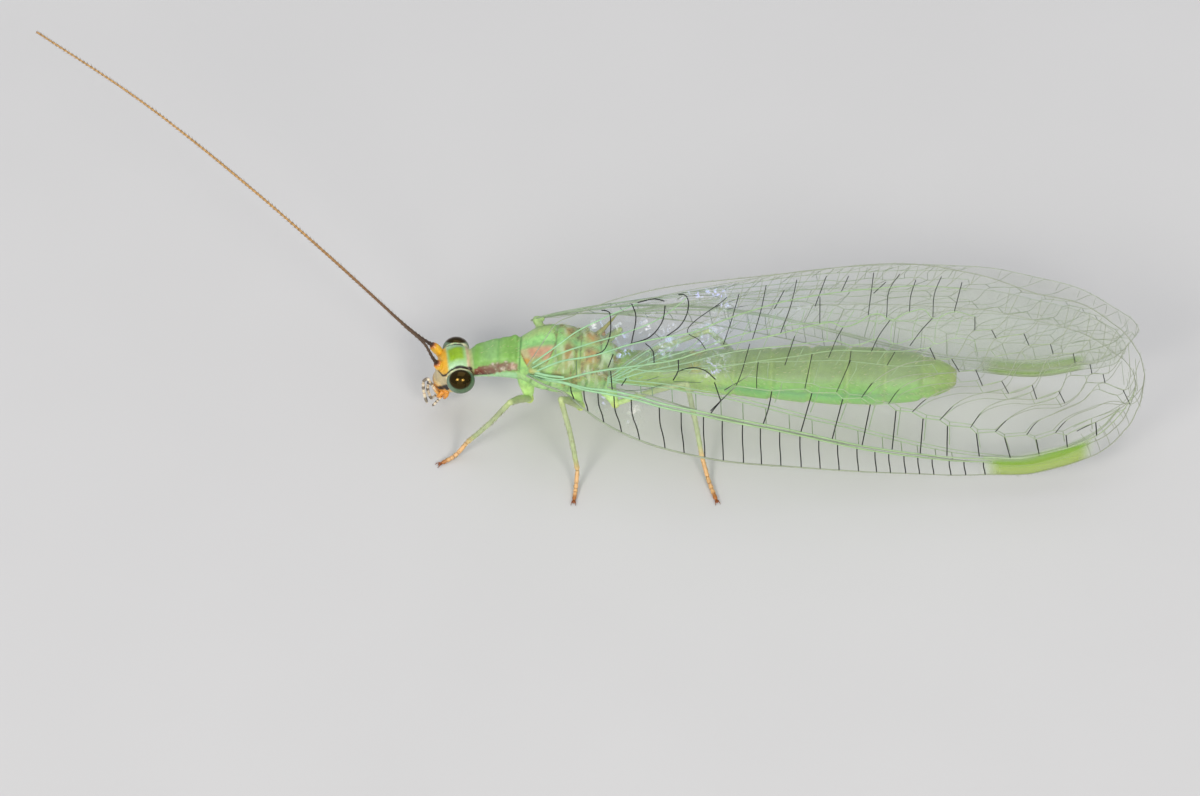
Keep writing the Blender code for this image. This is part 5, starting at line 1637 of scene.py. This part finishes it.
@dataclass
class Wing:
    """One folded wing: its clear membrane, its net of veins and the fringe of hairs on them."""

    pair: str
    side: Side
    stations: int = 170
    chords: int = 30
    thickness: float = 0.012
    costa: float = 0.024
    stem: float = 0.026
    branch: float = 0.0115
    cross: float = 0.0132

    def __post_init__(self) -> None:
        self.is_fore = self.pair == "forewing"
        self.edge = FOREWING_EDGE if self.is_fore else HINDWING_EDGE
        if self.is_fore and self.side is Side.RIGHT:
            self.edge = [knot for knot in FOREWING_EDGE if knot[0] < 11.0] + FAR_EDGE_END
        self.back = FOREWING_BACK[self.side.word] if self.is_fore else HINDWING_BACK
        self.stem_line = SUBCOSTA if self.is_fore else HINDWING_STEM
        self.layer = 0.0 if self.is_fore else 0.2
        self.reach = 1.0 if self.side is Side.LEFT else 0.98
        self.fineness = (1.0 if self.is_fore else 0.8) * (1.0 if self.side is Side.LEFT else 0.62)

    def surface(self, x: Any, depth: Any, layer_shift: float = 0.0) -> np.ndarray:
        """A place on this wing's membrane, raised by layer_shift."""
        return Roof.at(np.asarray(x, float) * self.reach, depth, self.side, self.layer - layer_shift)

    def on_wing(self, points: np.ndarray) -> np.ndarray:
        """Carries forewing coordinates to this wing by their share of its chord."""
        if self.is_fore and self.side is Side.LEFT:
            return self.kept_inside(points)
        x = points[:, 0] if self.is_fore else 0.45 + 0.955 * points[:, 0]
        base = smooth(points[:, 0], FOREWING_BACK["left"])
        share = (points[:, 1] - base) / np.maximum(smooth(points[:, 0], FOREWING_EDGE) - base, 0.05)
        back = smooth(x, self.back)
        return self.kept_inside(np.stack([x, back + (smooth(x, self.edge) - back) * share], axis=1))

    def kept_inside(self, points: np.ndarray) -> np.ndarray:
        """Points held between the wing's two edges."""
        x = np.clip(points[:, 0], self.edge[0][0], self.edge[-1][0])
        low, high = smooth(x, self.back), smooth(x, self.edge)
        return np.stack([x, np.clip(points[:, 1], low + 0.012, high)], axis=1)

    def membrane(self) -> bpy.types.Mesh:
        """The film as a thin closed shell, with the wing spot, painted glints and tint stored on it."""
        share = (1 - np.cos(np.linspace(0, math.pi, self.stations))) / 2
        x = self.edge[0][0] + (self.edge[-1][0] - self.edge[0][0]) * share
        near, far = smooth(x, self.edge), smooth(x, self.back)
        chord = np.linspace(0, 1, self.chords)
        depth = near[:, None] + (far - near)[:, None] * chord
        grid = np.broadcast_to(x[:, None], depth.shape)
        half = self.thickness / 2
        rings = np.concatenate([self.surface(grid, depth, half), self.surface(grid, depth, -half)[:, ::-1]], axis=1)
        mesh = loft(self.pair + "_film", rings)
        across = np.concatenate([depth, depth[:, ::-1]], axis=1).ravel()
        along = np.repeat(x, 2 * self.chords)
        ends = [(x[0], depth[0].mean()), (x[-1], depth[-1].mean())]
        along, across = (np.concatenate([values, [end[i] for end in ends]])
                         for i, values in enumerate((along, across)))
        self.mark(mesh, along, across)
        return mesh

    def mark(self, mesh: bpy.types.Mesh, along: np.ndarray, across: np.ndarray) -> None:
        """Stores the wing spot, the painted glints and the film's tint."""
        inner = smooth(along, RADIUS_END if self.is_fore else HINDWING_STEM)
        spot = ramp(along, 9.75, 10.3) * (1 - ramp(along, 11.95, 12.35)) * ramp(across, inner - 0.05, inner + 0.05)
        store_number(mesh, "spot", spot if self.is_fore else 0.8 * spot)
        store_number(mesh, "milk", ramp(along, 3.5, 9.5) * (0.15 if self.side is Side.LEFT else 1.0))
        # Where the film gets painted glints, standing for light caught in its folds
        painted_glint = np.zeros(len(along))
        for x, depth, wide, deep, strength in PAINTED_GLINTS:
            painted_glint += strength * hump(along, x, wide) * hump(across, depth, deep)
        store_number(mesh, "painted_glint", np.clip(painted_glint, 0, 1) * (1.0 if self.is_fore else 0.4))
        paint = Paint(len(along), "#D6DED0" if self.side is Side.LEFT else "#C8D6BA")
        paint.wash("#9CC78C", (1 - ramp(along, 0.6, 3.0)) * 0.8)
        paint.wash("#B4C2A6", ramp(along, 8.0, 12.0) * 0.6)
        paint.wash("#A4BC46", spot)
        paint.wash("#7FB430", spot * (1 - ramp(across, inner + 0.08, inner + 0.26)) * 0.75)
        paint.dry(mesh)

    def veins(self) -> list[Vein]:
        """This wing's veins, in forewing coordinates apart from the margin."""
        stem, branch, cross = self.stem, self.branch, self.cross
        made = [Vein(SECTOR[:2], (cross, cross), (0.9, 0.9)),
                Vein(SECTOR[1:3], (cross, cross), (0.9, 0.3)),
                Vein(SECTOR[2:], (0.014, 0.009), line=Line.ANGLED),
                Vein(MEDIA, (0.022, 0.01)), Vein(INNER_LINE, (branch, 0.009)),
                Vein(CUBITUS, (0.022, 0.008)), Vein(ANAL_ONE, (0.02, 0.01)), Vein(ANAL_TWO, (0.02, 0.01))]
        if self.is_fore:
            made += [Vein(RADIUS_END, (0.022, 0.01)), Vein(BASE_STEM, (0.036, 0.026))]
        dark = (1.0 if self.is_fore else 0.4) * (1.0 if self.side is Side.LEFT else 0.5)
        for start, end in INNER_STEPS:
            made.append(Vein((start, end), (0.0108, 0.0108), (dark, dark)))
        for start, end in OUTER_STEPS:
            made.append(Vein((start, end), (0.01, 0.01), (0.9 * dark, 0.9 * dark)))
        for starts, ends in zip(INNER_STEPS, INNER_STEPS[1:]):
            made.append(Vein((starts[1], ends[0]), (0.009, 0.009), line=Line.ANGLED))
        for starts, ends in zip(OUTER_STEPS, OUTER_STEPS[1:]):
            made.append(Vein((starts[1], ends[0]), (0.009, 0.009), line=Line.ANGLED))
        for points in BRANCHES:
            made.append(Vein(points, (0.0102, 0.0075), (dark, 0.12), Line.CURVED, fade=0.42))
        for ties in (RADIAL_TIES, BASE_TIES):
            made += [Vein(points, (cross, cross), (dark, dark)) for points in ties]
        for ties in (INNER_TIES, OUTER_TIES):
            made += [Vein(points, (0.0095, 0.0095), (0.95 * dark, 0.95 * dark)) for points in ties]
        made += [Vein(points, (0.0075, 0.0075), (0.6 * dark, 0.6 * dark)) for points in FAINT_TIES]
        made += self.margin_forks()
        return made

    @staticmethod
    def margin_forks() -> list[Vein]:
        """The short forked veins that reach the hind margin and the tip, set by a rule."""
        made = []
        for x in np.arange(3.9, 9.4, 0.42):
            depth = float(smooth(x, CUBITUS))
            made.append(Vein(((x, depth), (x + 0.22, 0.6 * depth), (x + 0.5, 0.03)), (0.008, 0.006), (0.25, 0.15)))
            made.append(Vein(((x + 0.14, 0.72 * depth), (x + 0.2, 0.4 * depth), (x + 0.24, 0.03)),
                             (0.008, 0.006), (0.25, 0.15)))
        for points in BRANCHES:
            before, end = points[-2], points[-1]
            split = (before[0] + 0.45 * (end[0] - before[0]), before[1] + 0.45 * (end[1] - before[1]))
            made.append(Vein((split, (end[0] - 0.26, end[1] + 0.02 - 0.25 * float(ramp(end[0], 12.9, 13.3)))),
                             (0.0075, 0.006), (0.12, 0.12)))
        for x in np.arange(12.08, 13.1, 0.2):
            start = float(smooth(x, RADIUS_END))
            end = float(smooth(x + 0.14, FOREWING_EDGE))
            made.append(Vein(((x, start), (x + 0.08, start + 0.4 * (end - start)), (x + 0.14, end)),
                             (0.0075, 0.006), (0.15, 0.15)))
        return made

    def costal_ties(self) -> list[np.ndarray]:
        """The row of dark crossveins along the front edge, more bent near the base."""
        lines = []
        if self.is_fore:
            for x in COSTAL_PLACES:
                lean = 0.05 + 0.17 * float(hump(x, 2.2, 1.0))
                top = float(smooth(x, SUBCOSTA)) + 0.04
                bottom = float(smooth(x + lean, FOREWING_EDGE))
                middle = (x + 0.2 * lean, top + 0.4 * (bottom - top))
                lower = (x + 0.75 * lean, top + 0.75 * (bottom - top))
                lines.append(smooth_path([(x, top), middle, lower, (x + lean, bottom)], 9))
            return lines
        for x in HINDWING_COSTALS:
            lines.append(smooth_path([(x, float(smooth(x, HINDWING_STEM)) + 0.03),
                                      (x + 0.03, float(smooth(x + 0.03, HINDWING_EDGE)))], 5))
        return lines

    def stems(self) -> list[tuple[np.ndarray, np.ndarray, np.ndarray]]:
        """The two stout veins side by side behind the front edge, as points, radii and darkness."""
        made = []
        line = smooth_path(self.stem_line, 150)
        part = 0.04 * ramp(line[:, 0], 0.3, 2.0) * (1 - 0.5 * ramp(line[:, 0], 9.0, 12.0))
        radii = self.stem * (1 - 0.35 * ramp(line[:, 0], 2.0, 10.5)) * (1.0 if self.is_fore else 0.7)
        for sign in (-1, 1):
            made.append((self.kept_inside(line + np.stack([0 * part, sign * part], axis=1)), radii, 0 * part))
        return made

    def margin(self) -> np.ndarray:
        """The closed outline as (x, depth)."""
        share = (1 - np.cos(np.linspace(0, math.pi, 260))) / 2
        x = self.edge[0][0] + (self.edge[-1][0] - self.edge[0][0]) * share
        front = np.stack([x, smooth(x, self.edge)], axis=1)
        hind = np.stack([x, smooth(x, self.back) + 0.014], axis=1)[::-1]
        return np.concatenate([front, hind[1:]])

    def net(self, bench: Bench, grower: Grower) -> bpy.types.Mesh:
        """All the wing's veins as tubes, painted green and black."""
        lines, radii, dark = [], [], []
        for vein in self.veins():
            points = np.array(vein.points, float)
            if vein.line is Line.CURVED and len(points) > 2:
                length = float(np.linalg.norm(np.diff(points, axis=0), axis=1).sum())
                points = smooth_path(points, max(4, int(length / 0.09)))
            else:
                points = straight_path(points, 0.12)
            points = self.on_wing(points)
            along = np.concatenate([[0.0], np.cumsum(np.linalg.norm(np.diff(points, axis=0), axis=1))])
            share = along / max(along[-1], 1e-6)
            lines.append(self.surface(points[:, 0], points[:, 1]))
            radii.append(self.fineness * (vein.radius[0] + (vein.radius[1] - vein.radius[0]) * share))
            if vein.fade:
                dark.append(vein.dark[1] + (vein.dark[0] - vein.dark[1]) * (1 - ramp(along, 0.6 * vein.fade,
                                                                                   1.4 * vein.fade)))
            else:
                dark.append(vein.dark[0] + (vein.dark[1] - vein.dark[0]) * share)
        for points, thick, shade in self.stems():
            lines.append(self.surface(points[:, 0], points[:, 1]))
            radii.append(self.fineness * thick)
            dark.append(shade)
        tie_shade = (1.0 if self.is_fore else 0.5) * (1.0 if self.side is Side.LEFT else 0.5)
        for points in self.costal_ties():
            points = self.kept_inside(points)
            lines.append(self.surface(points[:, 0], points[:, 1]))
            radii.append(np.full(len(points), self.fineness * self.cross))
            dark.append(np.full(len(points), tie_shade))
        rim = self.margin()
        lines.append(self.surface(rim[:, 0], rim[:, 1]))
        front = np.arange(len(rim)) < 260
        radii.append(self.fineness * np.where(front, self.costa - 0.012 * ramp(rim[:, 0], 2.0, 10.0), 0.0095))
        dark.append(np.where(front, 0.1 + 0.14 * ramp(rim[:, 0], 8, 12), 0.22))
        mesh = grower.draw(lines, radii, dark, 6, bench.material(VEIN_CUTICLE))
        shade = np.zeros(len(mesh.vertices), np.float32)
        mesh.attributes["dark"].data.foreach_get("value", shade)
        reach = places_of(mesh)[:, 0]
        paint = Paint(len(shade), "#9CCB9E")
        paint.wash("#9BB88A", ramp(reach, 1.2, 4.5))
        paint.wash("#A2AC92", ramp(reach, 7.0, 12.0) * 0.8)
        paint.wash("#969C8A", band(shade, 0.06, 0.34, 0.05) * 0.9)
        paint.wash("#A2AE96", np.full(len(shade), 0.0 if self.side is Side.LEFT else 0.8))
        paint.wash("#080908", ramp(shade, 0.3, 0.75))
        paint.dry(mesh)
        return mesh

    def fringe(self, hairs: Bristles, chance: np.random.Generator) -> None:
        """Short hairs round the margin and along the stout veins."""
        rim = self.margin()
        line = self.surface(rim[:, 0], rim[:, 1])
        length = np.concatenate([[0.0], np.cumsum(np.linalg.norm(np.diff(line, axis=0), axis=1))])
        at = np.sort(chance.uniform(0, length[-1], int(length[-1] / 0.075)))
        flat = np.stack([np.interp(at, length, column) for column in rim.T], axis=1)
        roots = np.stack([np.interp(at, length, column) for column in line.T], axis=1)
        middle = self.surface(flat[:, 0] - 0.02, (smooth(flat[:, 0], self.edge) + smooth(flat[:, 0], self.back)) / 2)
        outward = unit(roots - middle)
        jitter = chance.normal(0, 0.25, outward.shape)
        spots = np.stack([flat[:, 0] / 14.0, flat[:, 1] / 6.0], axis=1)
        hairs.add(roots, outward + (0.9, 0, 0) + jitter, 0.06, 0.0035, spots)
        stout = self.kept_inside(smooth_path(self.stem_line, 240))
        picks = chance.integers(4, 236, 170)
        roots = self.surface(stout[picks, 0], stout[picks, 1], 0.03)
        above = self.surface(stout[picks, 0], stout[picks, 1], 0.2)
        spots = np.stack([stout[picks, 0] / 14.0, stout[picks, 1] / 6.0], axis=1)
        hairs.add(roots, unit(above - roots) + (0.8, 0, 0), 0.06, 0.0035, spots)

    def build(self, bench: Bench, grower: Grower, hairs: Bristles, chance: np.random.Generator) -> None:
        """Builds the wing's pieces."""
        name = f"{self.pair}_{self.side.word}"
        bench.piece(name + "_film", self.membrane(), WING_FILM, [name])
        bench.piece(name + "_veins", self.net(bench, grower), VEIN_CUTICLE)
        self.fringe(hairs, chance)


# Places of the painted glints, which stand for light caught in the folds of the film: x, depth, half width along and
# down, strength
PAINTED_GLINTS = (
    (1.95, 0.55, 0.14, 0.24, 1.0), (2.05, 1.05, 0.24, 0.14, 1.0), (2.55, 0.55, 0.18, 0.2, 0.9),
    (1.4, 0.3, 0.16, 0.16, 0.9), (3.05, 0.75, 0.2, 0.18, 0.8), (4.0, 0.1, 0.2, 0.1, 0.9),
    (3.5, 0.12, 0.35, 0.08, 1.0), (4.15, 0.35, 0.2, 0.2, 0.9), (4.0, 1.75, 0.25, 0.22, 1.0),
    (1.6, 2.05, 0.1, 0.22, 0.9), (2.3, 2.45, 0.14, 0.4, 0.6), (1.35, 1.35, 0.3, 0.12, 0.7),
    (2.9, 1.15, 0.3, 0.15, 0.6), (3.9, 1.0, 0.3, 0.25, 0.6), (5.9, 0.7, 0.2, 0.2, 0.35),
    (12.0, 0.5, 0.5, 0.1, 0.25), (10.0, 0.25, 0.7, 0.05, 0.3),
)


@dataclass
class BodyHairs:
    """Sparse pale hairs on thorax and abdomen."""

    count: int = 900

    def build(self, bench: Bench, grower: Grower) -> None:
        """Sows the hairs on the trunk by a rule and hands them over."""
        chance = np.random.default_rng(23)
        x = chance.uniform(-1.25, 9.1, self.count)
        turn = chance.uniform(-0.3 * math.pi, 1.3 * math.pi, self.count)
        wide, axis = smooth(x, TRUNK_WIDTH), smooth(x, TRUNK_AXIS)
        tall = np.where(np.sin(turn) > 0, smooth(x, TRUNK_RISE), smooth(x, TRUNK_DROP))
        angle = np.degrees(np.arctan2(np.sin(turn), np.abs(np.cos(turn))))
        lift = BodySkin().relief(x, angle) - 0.01
        outward = unit(np.stack([np.zeros_like(x), np.cos(turn) / wide, np.sin(turn) / tall], axis=1))
        roots = np.stack([x, wide * np.cos(turn), axis + tall * np.sin(turn)], axis=1) + outward * lift[:, None]
        hairs = Bristles()
        spots = np.stack([(x + 1.5) / 11.0, turn / (2 * math.pi) % 1.0], axis=1)
        hairs.add(roots, outward + (0.9, 0.0, 0.0), 0.1, 0.004, spots)
        hairs.grow(bench, grower, "body_hairs", "body", "#C9C48A", "#E8E4C8")


class Studio:
    """Pale floor, soft light and the photo's view."""

    centre = np.array((1.47, 0.0, 0.512))
    backward = np.array((0.0392, -0.6415, 0.7659))
    right = np.array((0.998, 0.061, 0.0))
    distance = 650.0
    field_width = 26.087
    sensor = 36.0

    def __init__(self, bench: Bench) -> None:
        self.bench = bench

    def place(self, point: np.ndarray) -> Vector:
        """A place in the frame, from the insect's millimetres."""
        return Vector((np.asarray(point) + self.bench.shift) * MM)

    def floor(self) -> None:
        """A wide pale floor, not part of the model."""
        half = 400.0
        mesh = bpy.data.meshes.new("studio_floor")
        corners = [(-half, -half, 0), (half, -half, 0), (half, half, 0), (-half, half, 0)]
        mesh.from_pydata([self.place(np.array(corner, float)) for corner in corners], [], [(0, 1, 2, 3)])
        mesh.materials.append(StudioFloor().material())
        on_table("studio_floor", mesh)

    def camera(self) -> None:
        """The camera at the photo's angle, far off so that lines stay nearly parallel."""
        lens = bpy.data.cameras.new("photo_view")
        lens.sensor_width = self.sensor
        lens.lens = self.sensor * self.distance / self.field_width
        lens.clip_start, lens.clip_end = 0.01, 20.0
        eye = bpy.data.objects.new("photo_view", lens)
        bpy.context.scene.collection.objects.link(eye)
        back = unit(self.backward)
        right = unit(self.right - back * np.dot(self.right, back))
        turn = Matrix((right, np.cross(back, right), back)).transposed().to_4x4()
        eye.matrix_world = Matrix.Translation(self.place(self.centre + back * self.distance)) @ turn
        bpy.context.scene.camera = eye

    def lamp(self, name: str, azimuth: float, elevation: float, distance: float, size: float,
             power: float, colour: str) -> None:
        """A square soft light that faces the insect.

        Args:
            name: its name.
            azimuth: degrees round from the camera's side, to the right.
            elevation: degrees above the floor.
            distance: millimetres from the insect.
            size: side in millimetres.
            power: watts.
            colour: its sRGB colour.
        """
        light = bpy.data.lights.new(name, "AREA")
        light.size = size * MM
        light.energy = power
        light.color = linear(colour)
        obj = bpy.data.objects.new(name, light)
        bpy.context.scene.collection.objects.link(obj)
        a, e = math.radians(azimuth), math.radians(elevation)
        back = np.array((math.sin(a) * math.cos(e), -math.cos(a) * math.cos(e), math.sin(e)))
        target = np.array((3.0, 0.0, 1.0))
        obj.location = self.place(target + back * distance)
        obj.rotation_euler = Vector(back).to_track_quat("Z", "Y").to_euler()

    def build(self) -> None:
        """Builds floor, lights, world and camera."""
        self.floor()
        self.lamp("softbox_left", -28.0, 41.0, 300.0, 30.0, 0.05, "#FFFDF6")
        self.lamp("softbox_right", 26.0, 38.0, 300.0, 30.0, 0.04, "#FFFDF6")
        self.lamp("flash_left", -28.0, 41.0, 290.0, 90.0, 0.33, "#FFFAF0")
        self.lamp("flash_right", 26.0, 38.0, 290.0, 90.0, 0.29, "#FFFAF0")
        self.lamp("front_fill", 0.0, 24.0, 400.0, 300.0, 0.13, "#FFFFFF")
        self.lamp("top_light", 170.0, 74.0, 350.0, 320.0, 0.27, "#F6F9FF")
        world = bpy.data.worlds.new("studio_air")
        world.use_nodes = True
        tree = world.node_tree
        tree.nodes.clear()
        air = add_node(tree, "ShaderNodeBackground", inputs={"Color": (*linear("#F4F6FA"), 1.0), "Strength": 0.47})
        add_node(tree, "ShaderNodeOutputWorld", inputs={"Surface": air.outputs[0]})
        scene = bpy.context.scene
        scene.world = world
        scene.view_settings.view_transform = "Standard"
        scene.cycles.transparent_max_bounces = 48
        self.camera()


def main() -> None:
    """Builds the model piece by piece round the frame."""
    logging.basicConfig(level=logging.INFO, format="%(name)s: %(message)s")
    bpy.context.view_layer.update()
    bench = Bench()
    grower = Grower()
    BodySkin().build(bench)
    Eyes().build(bench)
    Mouth().build(bench)
    Feelers().build(bench, grower)
    Legs().build(bench, grower)
    chance = np.random.default_rng(5)
    fringe = Bristles()
    for side in Side:
        for pair in ("forewing", "hindwing"):
            Wing(pair, side).build(bench, grower, fringe, chance)
    fringe.grow(bench, grower, "wing_fringe", "wing_membrane", "#8E9A7E", "#B9C2AA")
    BodyHairs().build(bench, grower)
    Studio(bench).build()
    LOG.info("whole model: %d triangles", bench.faces)


if __name__ == "__main__":
    main()
